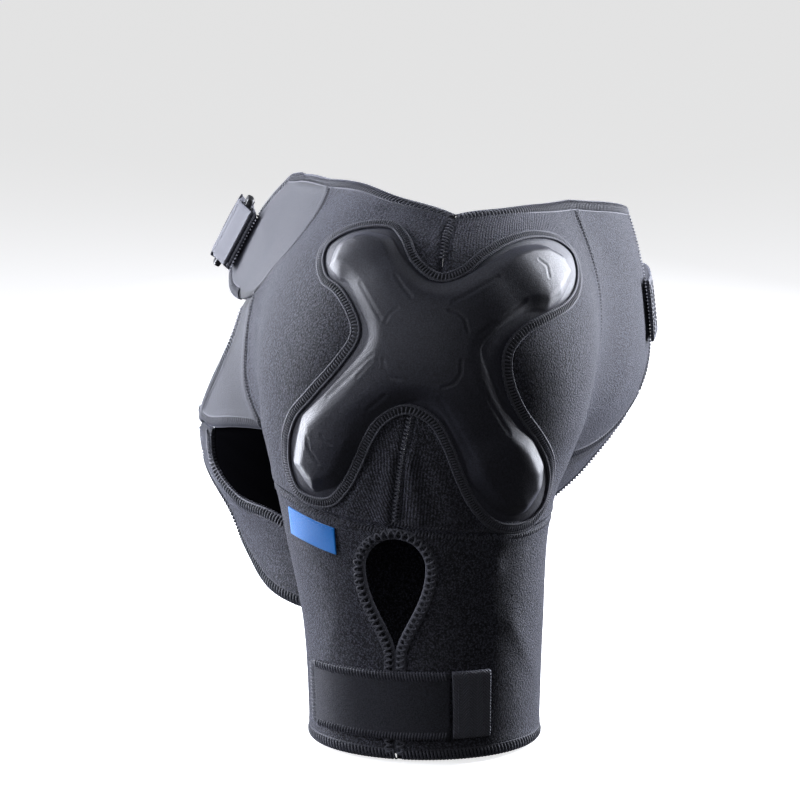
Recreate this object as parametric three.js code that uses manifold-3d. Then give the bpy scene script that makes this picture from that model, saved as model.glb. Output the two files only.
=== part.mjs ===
// Padded shoulder brace for snow sports, in the shape it has when worn: a neoprene shoulder, sleeve
// and torso band with a four-lobed moulded impact pad, a buckled body strap and a sleeve tab.
// Millimetres, +Z up, +X out over the upper arm, +Y to the wearer's back, origin at the shoulder joint.
import * as THREE from 'three';
import { mergeVertices } from 'three/addons/utils/BufferGeometryUtils.js';
import Module from 'manifold-3d';

const wasm = await Module();
wasm.setup();

// ---- driving sizes -------------------------------------------------------------------------
const torsoAxisX = -195;
const chestDepthScale = 1;
const armScale = 1;
const fabricThickness = 3.5;
const gussetThickness = 1.2;
const skinGap = 0.3;
const seamGap = 0.7;
const tapeGap = 0.85;
const tapeThickness = 0.9;
const edgeTapeWidth = 6;
const seamTapeWidth = 7;
const sleeveEase = 2.2;
const sleeveHemZ = -224;
const sleeveUnderarmZ = -128;
const padThickness = 7;
const padCoverThickness = 0.8;
const padBandWidth = 6;
const padBandThickness = 1.6;
const keyholeWidth = 36;
const keyholeTopZ = -97;
const keyholeNeckZ = -166;
const slitWidth = 3;
const webbingWidth = 36;
const webbingThickness = 2;
const ringBar = 4;
const ringThickness = 4;
const ringSlotClearance = 1.5;
const ringPitch = 13;
const strapTailTurn = 46;
const sleeveTabHeight = 38;
const labelLength = 30;
const labelHeight = 15;
const sleeveSeamWidth = 3.4;

const fabricTop = skinGap + fabricThickness;
const tapeBase = fabricTop + tapeGap;
const tapeTop = tapeBase + tapeThickness;

// ---- small maths ---------------------------------------------------------------------------
const V = (x, y, z) => new THREE.Vector3(x, y, z);
const clamp01 = (t) => Math.min(1, Math.max(0, t));
const mix = (a, b, t) => a + (b - a) * t;

function smoothMin(a, b, k) {
  const h = clamp01(0.5 + (0.5 * (b - a)) / k);
  return mix(b, a, h) - k * h * (1 - h);
}

function smoothMax(a, b, k) {
  return -smoothMin(-a, -b, k);
}

// A smooth curve of value against height through the given levels.
function levels(pairs) {
  const n = pairs.length;
  const slope = pairs.map((pair, i) => {
    const lo = pairs[Math.max(0, i - 1)];
    const hi = pairs[Math.min(n - 1, i + 1)];
    return (hi[1] - lo[1]) / (hi[0] - lo[0]);
  });
  return (z) => {
    let i = 0;
    while (i < n - 2 && z > pairs[i + 1][0]) i += 1;
    const [z0, a] = pairs[i];
    const [z1, b] = pairs[i + 1];
    const h = z1 - z0;
    const t = clamp01((z - z0) / h);
    const s = t * t * (3 - 2 * t);
    return mix(a, b, s) + h * t * (1 - t) * ((1 - t) * slope[i] - t * slope[i + 1]);
  };
}

// ---- the wearer's form, as a distance function ---------------------------------------------
const torsoHalfWidth = levels([
  [-260, 112], [-150, 118], [-100, 134], [-60, 156], [20, 178], [90, 160]]);
const torsoFront = levels([
  [-260, -104], [-190, -130], [-150, -124], [-95, -140], [-30, -139], [30, -115], [80, -86]]);
const torsoBack = levels([
  [-260, 50], [-190, 48], [-140, 62], [-100, 98], [-50, 126], [0, 126], [60, 112], [110, 90]]);
const armHalfWidth = levels([[-260, 50], [-160, 52], [-90, 56], [-30, 60]]);
const armHalfDepth = levels([[-260, 60], [-160, 64], [-95, 72], [-45, 85]]);
const armMiddle = levels([[-260, 0], [-160, -1], [-95, -5], [-30, -2]]);

// Distance to an ellipse with half axes a and b.
function ellipse(x, y, a, b) {
  const k0 = Math.hypot(x / a, y / b) + 1e-9;
  const k1 = Math.hypot(x / (a * a), y / (b * b)) + 1e-9;
  return (k0 * (k0 - 1)) / k1;
}

function torso(p) {
  const front = torsoFront(p.z) * chestDepthScale;
  const back = torsoBack(p.z) * chestDepthScale;
  const side = ellipse(p.x - torsoAxisX, p.y - (front + back) / 2, torsoHalfWidth(p.z), (back - front) / 2);
  const slope = (p.z - 86 + 0.42 * (p.x + 10)) * 0.92;
  return smoothMax(side, slope, 30);
}

function arm(p) {
  const side = ellipse(
    p.x - 2, p.y - armMiddle(p.z) * armScale, armHalfWidth(p.z) * armScale, armHalfDepth(p.z) * armScale);
  return smoothMax(side, p.z - 10, 40);
}

function deltoid(p) {
  const [x, y, z] = [p.x + 12, p.y - 2, p.z + 6];
  const [a, b, c] = [76 * armScale, 88 * armScale, 84 * armScale];
  const k0 = Math.hypot(x / a, y / b, z / c);
  const k1 = Math.hypot(x / (a * a), y / (b * b), z / (c * c)) + 1e-9;
  return (k0 * (k0 - 1)) / k1;
}

function trunk(p) {
  return smoothMin(torso(p), deltoid(p), 60);
}

function wearer(p) {
  return smoothMin(trunk(p), arm(p), 16);
}

function gradient(form, p) {
  const h = 0.5;
  const d = (dx, dy, dz) => form(V(p.x + dx, p.y + dy, p.z + dz)) - form(V(p.x - dx, p.y - dy, p.z - dz));
  return V(d(h, 0, 0), d(0, h, 0), d(0, 0, h)).divideScalar(2 * h);
}

// Moves a point along the slope of the form until it stands off it by the given height.
function settle(point, height, form = wearer) {
  const p = point.clone();
  for (let i = 0; i < 12; i += 1) {
    const g = gradient(form, p);
    const step = ((form(p) - height) / Math.max(0.05, g.lengthSq())) * 0.85;
    p.addScaledVector(g, -step);
  }
  return p;
}

// Walks out from an inside point along a direction to the given height over the form.
function reach(origin, direction, height, form = wearer) {
  let [lo, hi] = [10, 220];
  for (let i = 0; i < 36; i += 1) {
    const middle = (lo + hi) / 2;
    if (form(origin.clone().addScaledVector(direction, middle)) < height) lo = middle;
    else hi = middle;
  }
  return origin.clone().addScaledVector(direction, lo);
}

// ---- closed solids from grids --------------------------------------------------------------
function solidGeometry(points, faces) {
  let volume = 0;
  for (const [a, b, c] of faces) {
    volume += points[a].dot(points[b].clone().cross(points[c]));
  }
  const index = faces.flatMap(([a, b, c]) => (volume > 0 ? [a, b, c] : [a, c, b]));
  const geometry = new THREE.BufferGeometry();
  geometry.setAttribute('position', new THREE.Float32BufferAttribute(points.flatMap((p) => p.toArray()), 3));
  geometry.setIndex(index);
  return geometry;
}

// A sheet with an outer and an inner face. skin(u, v, side) gives a point, side 1 outside, 0 inside.
function sheet(skin, nu, nv, closed = false) {
  const points = [];
  const faces = [];
  const columns = closed ? nu : nu + 1;
  for (const side of [1, 0]) {
    for (let j = 0; j <= nv; j += 1) {
      for (let i = 0; i < columns; i += 1) points.push(skin(i / nu, j / nv, side));
    }
  }
  const layer = columns * (nv + 1);
  const at = (side, i, j) => (side ? 0 : layer) + j * columns + (i % columns);
  const quad = (a, b, c, d) => faces.push([a, b, c], [a, c, d]);
  for (let j = 0; j < nv; j += 1) {
    for (let i = 0; i < nu; i += 1) {
      quad(at(1, i, j), at(1, i + 1, j), at(1, i + 1, j + 1), at(1, i, j + 1));
      quad(at(0, i, j), at(0, i, j + 1), at(0, i + 1, j + 1), at(0, i + 1, j));
    }
  }
  for (let i = 0; i < nu; i += 1) {
    quad(at(1, i, 0), at(0, i, 0), at(0, i + 1, 0), at(1, i + 1, 0));
    quad(at(1, i, nv), at(1, i + 1, nv), at(0, i + 1, nv), at(0, i, nv));
  }
  if (!closed) {
    for (let j = 0; j < nv; j += 1) {
      quad(at(1, 0, j), at(1, 0, j + 1), at(0, 0, j + 1), at(0, 0, j));
      quad(at(1, nu, j), at(0, nu, j), at(0, nu, j + 1), at(1, nu, j + 1));
    }
  }
  return solidGeometry(points, faces);
}

// ---- seam and edge lines on the form -------------------------------------------------------
function lineOn(form, xyz) {
  const points = xyz.map(([x, y, z]) => settle(V(x, y, z), 0, form));
  const curve = new THREE.CatmullRomCurve3(points, false, 'centripetal');
  return { at: (t) => curve.getPointAt(clamp01(t)), length: curve.getLength() };
}

const line = (...xyz) => lineOn(wearer, xyz);
const trunkLine = (...xyz) => lineOn(trunk, xyz);

function joined(...lines) {
  const length = lines.reduce((sum, part) => sum + part.length, 0);
  const at = (t) => {
    let s = clamp01(t) * length;
    let k = 0;
    while (k < lines.length - 1 && s > lines[k].length) {
      s -= lines[k].length;
      k += 1;
    }
    return lines[k].at(s / lines[k].length);
  };
  return { at, length };
}

const necklineFront = line([-128, -82, 79], [-95, -70, 82], [-61, -56, 84]);
const necklineShoulder = line([-61, -56, 84], [-28, -37, 86], [3, -14, 83], [18, 17, 75]);
const necklineBack = line([18, 17, 75], [0, 42, 76], [-28, 62, 75], [-69, 81, 72]);
const necklineSpine = line([-69, 81, 72], [-124, 105, 63], [-168, 112, 54]);
const chestSeam = line([-61, -56, 84], [-36, -66, 66], [-30, -76, 50], [-60, -92, 32], [-82, -103, 16]);
const armscyeSeam = line([-82, -103, 16], [-76, -108, -12], [-74, -109, -42], [-64, -102, -66]);
const shoulderSeam = line(
  [18, 17, 75], [36, 12, 64], [62, 8, 26], [70, -4, -20], [65, -11, -55], [59, -15, -91]);
const sleeveSeamFront = line([-64, -102, -66], [-20, -92, -76], [33, -73, -81], [50, -49, -87], [59, -15, -91]);
const sleeveSeamBack = line([59, -15, -91], [58, 21, -95], [40, 53, -98], [14, 76, -97], [-14, 90, -97]);
const backSeam = line([-69, 81, 72], [-62, 98, 30], [-52, 106, -20], [-36, 104, -60], [-14, 90, -97]);
const spineEdge = line([-168, 112, 54], [-178, 122, 20], [-180, 125, -20], [-168, 120, -56]);
const wingHem = line([-14, 90, -97], [-52, 92, -102], [-90, 96, -100], [-132, 108, -84], [-168, 120, -56]);
const tabEdge = line([-128, -82, 79], [-146, -96, 64], [-153, -104, 54], [-155, -110, 36], [-154, -118, 14]);
const tabHem = line([-154, -118, 14], [-128, -118, 8], [-104, -111, 8], [-82, -103, 16]);
const pecEdge = line([-98, -109, 10], [-102, -119, -17], [-127, -134, -48], [-158, -139, -72]);
const pecTop = line([-98, -109, 10], [-90, -106, 11], [-82, -103, 16]);
const pecHem = line([-158, -139, -72], [-128, -136, -74], [-96, -119, -68], [-64, -102, -66]);

// The band starts just under the pec strip and ends just under the hem of the back wing.
const underWing = (t) => wingHem.at(t).add(V(0, 0, -1.8)).toArray();
const bandFront = trunkLine([-130, -137, -77], [-145, -139, -76], [-160, -139, -75]);
const bandBack = trunkLine(underWing(0.36), underWing(0.55), underWing(0.75), underWing(0.95));
const bandTop = trunkLine([-130, -137, -77], [-136, -137, -98], [-116, -118, -114], [-92, -96, -118],
  [-76, -62, -128], [-72, -20, -134], [-74, 25, -130], [-80, 60, -118], underWing(0.36));
const bandHem = trunkLine([-160, -139, -75], [-166, -138, -102], [-138, -126, -124], [-130, -114, -146],
  [-104, -98, -166], [-84, -60, -176], [-80, -15, -178], [-88, 30, -168], [-112, 62, -146], [-140, 92, -116],
  underWing(0.95));

// The thin gusset closes the armpit between the pec strip and the band, and ends behind the arm.
const gussetTop = trunkLine([-127, -136, -80], [-112, -130, -77], [-96, -121, -73.5], [-76, -108, -72]);
const gussetFront = trunkLine([-127, -136, -80], [-133, -137, -97], [-115, -119, -111]);
const gussetHem = trunkLine([-115, -119, -111], [-92, -98, -114.5], [-80, -70, -122]);
const gussetBack = trunkLine([-76, -108, -72], [-76, -95, -95], [-80, -70, -122]);

function portion(whole, from, to) {
  return { at: (t) => whole.at(mix(from, to, t)), length: whole.length * (to - from) };
}

// A four-sided panel of fabric between two upright lines and two cross lines that meet at its corners.
function panel(left, right, top, bottom, nu, nv, form = wearer, outer = fabricTop) {
  const gapU = (2 * seamGap) / (top.length + bottom.length);
  const gapV = (2 * seamGap) / (left.length + right.length);
  const corner = [top.at(0), top.at(1), bottom.at(0), bottom.at(1)];
  return sheet((s, t, side) => {
    const u = mix(gapU, 1 - gapU, s);
    const v = mix(gapV, 1 - gapV, t);
    const p = top.at(u).multiplyScalar(1 - v).addScaledVector(bottom.at(u), v);
    p.addScaledVector(left.at(v), 1 - u).addScaledVector(right.at(v), u);
    p.addScaledVector(corner[0], -(1 - u) * (1 - v)).addScaledVector(corner[1], -u * (1 - v));
    p.addScaledVector(corner[2], -(1 - u) * v).addScaledVector(corner[3], -u * v);
    return settle(p, side ? outer : skinGap, form);
  }, nu, nv);
}

// A flat tape laid on the fabric along a line, from one offset across it to another.
function tape(path, from, to, steps, form = wearer, ends = 3) {
  const start = ends / path.length;
  return sheet((s, t, side) => {
    const u = mix(start, 1 - start, s);
    const p = path.at(u);
    const tangent = path.at(u + 0.01).sub(path.at(u - 0.01)).normalize();
    const across = gradient(form, p).normalize().cross(tangent).normalize();
    p.addScaledVector(across, mix(from, to, t));
    return settle(p, side ? tapeTop : tapeBase, form);
  }, steps, 1);
}

// ---- sleeve --------------------------------------------------------------------------------
// Angle 0 points out to +X and a quarter turn points to the back, +Y.
const armAxis = (z) => V(2, armMiddle(z) * armScale, z);
const degreesRound = (p) => THREE.MathUtils.radToDeg(Math.atan2(p.y - armAxis(p.z).y, p.x - 2));

// The sleeve's top edge follows the sleeve seam, then dips under the armpit.
const seamSteps = [...Array(13).keys()].map((k) => k / 12);
const seamLevels = [...seamSteps.map(sleeveSeamFront.at), ...seamSteps.slice(1).map(sleeveSeamBack.at)]
  .map((p) => [degreesRound(p), p.z]);
const sleeveTop = levels([[-215, sleeveUnderarmZ], [-160, sleeveUnderarmZ], ...seamLevels,
  [seamLevels.at(-1)[0] + 45, sleeveUnderarmZ], [200, sleeveUnderarmZ]]);

// The sleeve follows the wearer's form, but clears the torso on the side that faces it: above the
// underarm it may flare out to the whole form on the sides that face away from the torso.
const sleeveFlare = 40;
const flareRise = 30;
const flareTurn = 0.2;
function sleevePoint(turn, z, height) {
  const direction = V(Math.cos(turn), Math.sin(turn), 0);
  const own = reach(armAxis(z), direction, height, arm);
  const whole = reach(armAxis(z), direction, height);
  const facing = clamp01(1.3 + 1.6 * Math.cos(turn - flareTurn));
  const flare = sleeveFlare * facing * clamp01((z - sleeveUnderarmZ) / flareRise);
  const spread = Math.min(own.distanceTo(armAxis(z)) + flare, whole.distanceTo(armAxis(z)));
  return armAxis(z).addScaledVector(direction, Math.max(spread, own.distanceTo(armAxis(z))));
}

// A band round the sleeve between two angles in degrees, hanging from the given top level.
function sleeveRibbon(from, to, topLevel, width, base, top, steps) {
  return sheet((s, t, side) => {
    const degrees = mix(from, to, s);
    return sleevePoint(THREE.MathUtils.degToRad(degrees), topLevel(degrees) - width * t, side ? top : base);
  }, steps, 2);
}

function toManifold(geometry) {
  const clean = geometry.clone();
  clean.deleteAttribute('normal');
  clean.deleteAttribute('uv');
  const merged = mergeVertices(clean, 1e-4);
  return new wasm.Manifold(new wasm.Mesh({
    numProp: 3,
    vertProperties: new Float32Array(merged.attributes.position.array),
    triVerts: new Uint32Array(merged.index.array),
  }));
}

function fromManifold(solid) {
  const mesh = solid.getMesh();
  const geometry = new THREE.BufferGeometry();
  geometry.setAttribute('position', new THREE.BufferAttribute(new Float32Array(mesh.vertProperties), 3));
  geometry.setIndex(new THREE.BufferAttribute(new Uint32Array(mesh.triVerts), 1));
  return geometry;
}

// The keyhole's outline, a drop that narrows into the slit, drawn in the plane across the arm.
const keyholeY = -15;
function keyholeShape(grow, hem) {
  const shape = new THREE.Shape();
  const half = keyholeWidth / 2 + grow;
  const slit = slitWidth / 2 + grow;
  const middle = keyholeTopZ - keyholeWidth / 2;
  shape.moveTo(keyholeY + half, middle);
  shape.absarc(keyholeY, middle, half, 0, Math.PI, false);
  shape.bezierCurveTo(
    keyholeY - half, middle - 22, keyholeY - slit, keyholeNeckZ + 14, keyholeY - slit, keyholeNeckZ);
  shape.lineTo(keyholeY - slit, hem);
  shape.lineTo(keyholeY + slit, hem);
  shape.lineTo(keyholeY + slit, keyholeNeckZ);
  shape.bezierCurveTo(
    keyholeY + slit, keyholeNeckZ + 14, keyholeY + half, middle - 22, keyholeY + half, middle);
  return shape;
}

function sleeve() {
  const tube = sheet((s, t, side) => {
    const turn = s * 2 * Math.PI;
    const degrees = ((s * 360 + 180) % 360) - 180;
    const z = mix(sleeveTop(degrees) - sleeveEase, sleeveHemZ, t);
    return sleevePoint(turn, z, side ? fabricTop : skinGap);
  }, 36, 9, true);
  const drill = new THREE.ExtrudeGeometry(
    keyholeShape(0, sleeveHemZ - 20), { depth: 80, bevelEnabled: false, curveSegments: 7 });
  drill.applyMatrix4(new THREE.Matrix4().makeBasis(V(0, 1, 0), V(0, 0, 1), V(1, 0, 0)).setPosition(20, 0, 0));
  return fromManifold(toManifold(tube).subtract(toManifold(drill)));
}

// The stitched rim runs up one side of the slit, round the keyhole and down the other side.
function keyholeRim() {
  const outline = (grow) => {
    const path = keyholeShape(grow, sleeveHemZ + 3).getPoints(9);
    const start = path.findIndex((p) => p.y < sleeveHemZ + 4);
    return [...path.slice(start + 1), ...path.slice(0, start + 1)];
  };
  const inner = outline(1);
  const outer = outline(edgeTapeWidth);
  const last = inner.length - 1;
  return sheet((s, t, side) => {
    const k = Math.round(s * last);
    const y = mix(inner[k].x, outer[k].x, t);
    const z = mix(inner[k].y, outer[k].y, t);
    return reach(V(0, y, z), V(1, 0, 0), side ? tapeTop : tapeBase);
  }, last, 1);
}

// ---- impact pad ----------------------------------------------------------------------------
const padRadius = 78;
const padLowShare = 0.6;
const padCentre = [3, 9];
const padOutline = new THREE.CatmullRomCurve3([
  [47, 2], [56, 12], [71, 18], [90, 25], [104, 35], [115, 51], [116, 67], [100, 79], [74, 81], [50, 74],
  [33, 64], [19, 53], [8, 50], [-4, 59], [-12, 75], [-21, 85], [-40, 87], [-59, 82], [-72, 71], [-73, 57],
  [-65, 42], [-55, 36], [-46, 25], [-42, 14], [-49, 0], [-63, -18], [-75, -33], [-80, -48], [-81, -66],
  [-75, -80], [-62, -85], [-50, -83], [-41, -73], [-34, -59], [-28, -45], [-21, -34], [-10, -28],
  [1, -33], [9, -47], [16, -66], [24, -83], [36, -97], [50, -103], [67, -103], [80, -94], [82, -77],
  [76, -60], [65, -43], [54, -28], [47, -12],
].map(([a, b]) => V(a, b, 0)), true, 'centripetal');

// Lays the flat pad plane (a to the back, b up) over the shoulder from a centre that sinks with b.
function onShoulder(a, b, height) {
  const low = Math.min(b, 0);
  const rise = b - padLowShare * low;
  const reachAcross = Math.hypot(a, rise) + 1e-9;
  const angle = reachAcross / padRadius;
  const direction = V(
    Math.cos(angle), (Math.sin(angle) * a) / reachAcross, (Math.sin(angle) * rise) / reachAcross);
  return reach(V(-10, 2, 2 + padLowShare * low), direction, height);
}

// A ring of the pad's outline, drawn in by the given distance towards the middle.
function padRim(s, inset) {
  const p = padOutline.getPointAt(((s % 1) + 1) % 1);
  const [a, b] = [p.x - padCentre[0], p.y - padCentre[1]];
  const share = Math.max(0.02, 1 - inset / Math.hypot(a, b));
  return [padCentre[0] + a * share, padCentre[1] + b * share];
}

const padSides = 76;
const padCoverInset = padBandWidth + 0.9;
const padCoreInset = padCoverInset + 5;

// A domed disc over the pad's outline. profile(inset) gives the top height, base(inset) the underside.
function padDisc(rimInset, insets, profile, base) {
  const around = padSides;
  const points = [];
  const faces = [];
  const rings = [rimInset, ...insets];
  for (const height of [profile, base]) {
    for (const inset of rings) {
      for (let i = 0; i < around; i += 1) points.push(onShoulder(...padRim(i / around, inset), height(inset)));
    }
    points.push(onShoulder(...padCentre, height(200)));
  }
  const layer = around * rings.length + 1;
  const at = (top, ring, i) => (top ? 0 : layer) + ring * around + (i % around);
  const quad = (a, b, c, d) => faces.push([a, b, c], [a, c, d]);
  const end = rings.length - 1;
  for (let i = 0; i < around; i += 1) {
    for (let r = 0; r < end; r += 1) {
      quad(at(1, r, i), at(1, r, i + 1), at(1, r + 1, i + 1), at(1, r + 1, i));
      quad(at(0, r, i), at(0, r + 1, i), at(0, r + 1, i + 1), at(0, r, i + 1));
    }
    faces.push([at(1, end, i), at(1, end, i + 1), layer - 1]);
    faces.push([at(0, end, i + 1), at(0, end, i), 2 * layer - 1]);
    quad(at(1, 0, i + 1), at(1, 0, i), at(0, 0, i), at(0, 0, i + 1));
  }
  return solidGeometry(points, faces);
}

const padRise = (inset, from) => padThickness * Math.sqrt(clamp01((inset - from) / 7));
const padBase = tapeBase + 0.7;
const coreBase = () => padBase;
const coreTop = (inset) => padBase + 1 + padRise(inset, padCoreInset - 1);
const coverBase = (inset) => Math.max(padBase, coreTop(inset) + 0.4 * (inset > padCoreInset - 2));
const coverTop = (inset) => coverBase(inset) + padCoverThickness;
const padRings = [padCoverInset + 2.5, padCoreInset, padCoreInset + 2, padCoreInset + 6];
for (let inset = padCoreInset + 14; inset < 106; inset += 13) padRings.push(inset);

function padBand() {
  const around = padSides;
  return sheet((s, t, side) => {
    const [a, b] = padRim(s, mix(0, padBandWidth, t));
    return onShoulder(a, b, side ? padBase + padBandThickness : padBase);
  }, around, 1, true);
}

// ---- body strap ----------------------------------------------------------------------------
const webbingBase = tapeTop + 0.8;
const webbingTop = webbingBase + webbingThickness;
const strapFrontZ = 35;
const strapSideZ = -30;
const strapBackZ = -8;
const strapHeight = levels([
  [-290, strapBackZ], [-255, strapBackZ], [-180, strapSideZ], [-105, 24], [-80, strapFrontZ]]);

// A point of the strap's route. turn is in degrees round the torso, across in mm up the webbing.
function onTorso(turn, across, height) {
  const angle = THREE.MathUtils.degToRad(turn);
  const origin = V(torsoAxisX, 0, strapHeight(turn) + across);
  return reach(origin, V(Math.cos(angle), Math.sin(angle), 0), height, torso);
}

function ribbon(turnFrom, turnTo, width, base, top, steps) {
  return sheet((s, t, side) => {
    const height = side ? top(s) : base(s);
    return onTorso(mix(turnFrom, turnTo, s), mix(-width / 2, width / 2, t), height);
  }, steps, 2);
}

const foldBore = Math.hypot(ringBar, ringThickness) / 2 + 0.4;
const foldOuter = foldBore + webbingThickness;

// The ring stands on its own small frame: x along the strap, y up the ring, z off the chest.
const ringX = -163;
const ringLift = webbingBase + foldOuter;
const ringSeat = settle(V(ringX, torsoFront(strapFrontZ) * chestDepthScale, strapFrontZ), ringLift, torso);
const ringOut = gradient(torso, ringSeat).normalize();
const ringUp = V(0, 0, 1).addScaledVector(ringOut, -ringOut.z).normalize();
const ringAlong = ringUp.clone().cross(ringOut).normalize();
if (ringAlong.x > 0) ringAlong.negate();
const ringGroup = new THREE.Group();
ringGroup.applyMatrix4(new THREE.Matrix4().makeBasis(
  ringAlong, ringOut.clone().cross(ringAlong).normalize(), ringOut).setPosition(ringSeat));

function rectangle(shape, x0, y0, x1, y1) {
  shape.moveTo(x0, y0);
  shape.lineTo(x1, y0);
  shape.lineTo(x1, y1);
  shape.lineTo(x0, y1);
  shape.closePath();
  return shape;
}

function ring() {
  const half = webbingWidth / 2 + ringSlotClearance;
  const outline = rectangle(
    new THREE.Shape(), -ringBar / 2, -half - ringBar, ringPitch + ringBar / 2, half + ringBar);
  outline.holes.push(rectangle(new THREE.Path(), ringBar / 2, -half, ringPitch - ringBar / 2, half));
  return new THREE.ExtrudeGeometry(outline, { depth: ringThickness, bevelEnabled: false })
    .translate(0, 0, -ringThickness / 2);
}

// Webbing folded round one bar of the ring, with both legs running away from the ring.
const foldLeg = 8;
const loopLeg = 24;
function fold(leg, direction, upperEnd) {
  const shape = new THREE.Shape();
  shape.moveTo(-leg, -foldOuter);
  shape.lineTo(0, -foldOuter);
  shape.absarc(0, 0, foldOuter, -Math.PI / 2, Math.PI / 2, false);
  shape.lineTo(-leg, upperEnd);
  shape.lineTo(-leg, upperEnd - webbingThickness);
  shape.lineTo(0, foldBore);
  shape.absarc(0, 0, foldBore, Math.PI / 2, -Math.PI / 2, true);
  shape.lineTo(-leg, -foldBore);
  shape.closePath();
  const geometry = new THREE.ExtrudeGeometry(
    shape, { depth: webbingWidth, bevelEnabled: false, curveSegments: 8 });
  return geometry.applyMatrix4(new THREE.Matrix4().makeBasis(
    V(direction, 0, 0), V(0, 0, 1), V(0, -direction, 0)).setPosition(0, (direction * webbingWidth) / 2, 0));
}

// ---- assembly ------------------------------------------------------------------------------
const neoprene = new THREE.MeshStandardMaterial({ color: 0x2b2d33, roughness: 0.95, metalness: 0 });
const smoothNeoprene = new THREE.MeshStandardMaterial({ color: 0x33363d, roughness: 0.8, metalness: 0 });
const knit = new THREE.MeshStandardMaterial({ color: 0x08080a, roughness: 0.6, metalness: 0 });
const film = new THREE.MeshStandardMaterial({ color: 0x26282e, roughness: 0.45, metalness: 0 });
const foam = new THREE.MeshStandardMaterial({ color: 0x3a3d44, roughness: 0.6, metalness: 0 });
const thread = new THREE.MeshStandardMaterial({ color: 0x17181b, roughness: 0.85, metalness: 0 });
const webbing = new THREE.MeshStandardMaterial({ color: 0x1b1c20, roughness: 0.8, metalness: 0 });
const plastic = new THREE.MeshStandardMaterial({ color: 0x0d0d0e, roughness: 0.4, metalness: 0 });
const labelCloth = new THREE.MeshStandardMaterial({ color: 0x1f7fc8, roughness: 0.7, metalness: 0 });

const part = new THREE.Group();

function add(name, geometry, material, parent = part) {
  const mesh = new THREE.Mesh(geometry, material);
  mesh.name = name;
  parent.add(mesh);
  return mesh;
}

const frontSide = joined(chestSeam, armscyeSeam);
add('front_shoulder_panel',
  panel(frontSide, shoulderSeam, necklineShoulder, sleeveSeamFront, 14, 20), neoprene);
add('back_shoulder_panel', panel(shoulderSeam, backSeam, necklineBack, sleeveSeamBack, 12, 16), neoprene);
add('chest_panel', panel(tabEdge, chestSeam, necklineFront, tabHem, 9, 10), smoothNeoprene);
add('pec_strip', panel(pecEdge, armscyeSeam, pecTop, pecHem, 8, 10), smoothNeoprene);
add('back_wing', panel(backSeam, spineEdge, necklineSpine, wingHem, 18, 16), neoprene);
add('torso_band', panel(bandFront, bandBack, bandTop, bandHem, 28, 5, trunk), neoprene);
add('armpit_gusset',
  panel(gussetFront, gussetBack, gussetTop, gussetHem, 8, 6, trunk, skinGap + gussetThickness), knit);
add('sleeve', sleeve(), neoprene);

add('pad_core', padDisc(padCoreInset, padRings.slice(2), coreTop, coreBase), foam);
add('pad_cover', padDisc(padCoverInset, padRings, coverTop, coverBase), film);
add('pad_stitch_band', padBand(), thread);

// Bindings lie just inside the free edges, and seam tapes cover the seams.
const within = edgeTapeWidth + seamGap;
const neckline = joined(necklineFront, necklineShoulder, necklineBack, necklineSpine);
add('neckline_binding', tape(neckline, -within, -seamGap, 46), thread);
add('tab_binding', tape(tabEdge, seamGap, within, 10, wearer, 9), thread);
add('tab_hem_binding', tape(portion(tabHem, 0.02, 0.6), seamGap, within, 6, wearer, 8), thread);
add('pec_edge_binding', tape(pecEdge, seamGap, within, 10, wearer, 14), thread);
add('armhole_binding', tape(portion(pecHem, 0.2, 1), seamGap, within, 12, wearer, 9), thread);
add('spine_binding', tape(spineEdge, -within, -seamGap, 12, wearer, 9), thread);
add('wing_hem_binding', tape(portion(wingHem, 0.05, 0.96), seamGap, within, 26, wearer, 13), thread);
add('band_top_binding', tape(bandTop, -within, -seamGap, 34, trunk, 9), thread);
add('band_hem_binding', tape(bandHem, seamGap, within, 36, trunk, 12), thread);
const half = seamTapeWidth / 2;
add('armscye_seam_tape', tape(frontSide, -half, half, 26, wearer, 12), thread);
add('back_seam_tape', tape(portion(backSeam, 0, 0.97), -half, half, 20, wearer, 12), thread);
add('shoulder_seam_upper', tape(portion(shoulderSeam, 0, 0.185), -half, half, 4, wearer, 8), thread);
add('shoulder_seam_lower', tape(portion(shoulderSeam, 0.64, 1), -half, half, 7, wearer, 4), thread);
const sleeveSeamTop = (d) => sleeveTop(d) - fabricThickness;
add('sleeve_seam_front_tape',
  sleeveRibbon(-112, -44, sleeveSeamTop, sleeveSeamWidth, tapeBase, tapeTop, 12), thread);
add('sleeve_seam_back_tape',
  sleeveRibbon(17, 88, sleeveSeamTop, sleeveSeamWidth, tapeBase, tapeTop, 13), thread);
const hemHalfDepth = armHalfDepth(sleeveHemZ) * armScale;
const hemHalfWidth = armHalfWidth(sleeveHemZ) * armScale;
const slitDegrees = THREE.MathUtils.radToDeg(Math.asin((keyholeY - armAxis(sleeveHemZ).y) / hemHalfDepth));
const slitRim = THREE.MathUtils.radToDeg((slitWidth / 2 + edgeTapeWidth + 2) / hemHalfWidth);
const hemTop = () => sleeveHemZ + seamGap + edgeTapeWidth;
add('sleeve_hem_binding',
  sleeveRibbon(
    slitDegrees + slitRim, slitDegrees - slitRim + 360, hemTop, edgeTapeWidth, tapeBase, tapeTop, 36), thread);
add('keyhole_rim', keyholeRim(), thread);
const labelTop = (d) => sleeveTop(d) - 8;
const labelTurn = THREE.MathUtils.radToDeg(labelLength / 64);
add('woven_label', sleeveRibbon(-68, -68 + labelTurn, labelTop, labelHeight, tapeBase, tapeTop, 5), labelCloth);

add('ring_loop', fold(loopLeg, 1, -foldOuter + 2.3 * webbingThickness), webbing, ringGroup);
add('chest_ring', ring(), plastic, ringGroup);
add('strap_fold', fold(foldLeg, -1, foldOuter).translate(ringPitch, 0, 0), webbing, ringGroup);
part.add(ringGroup);

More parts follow.
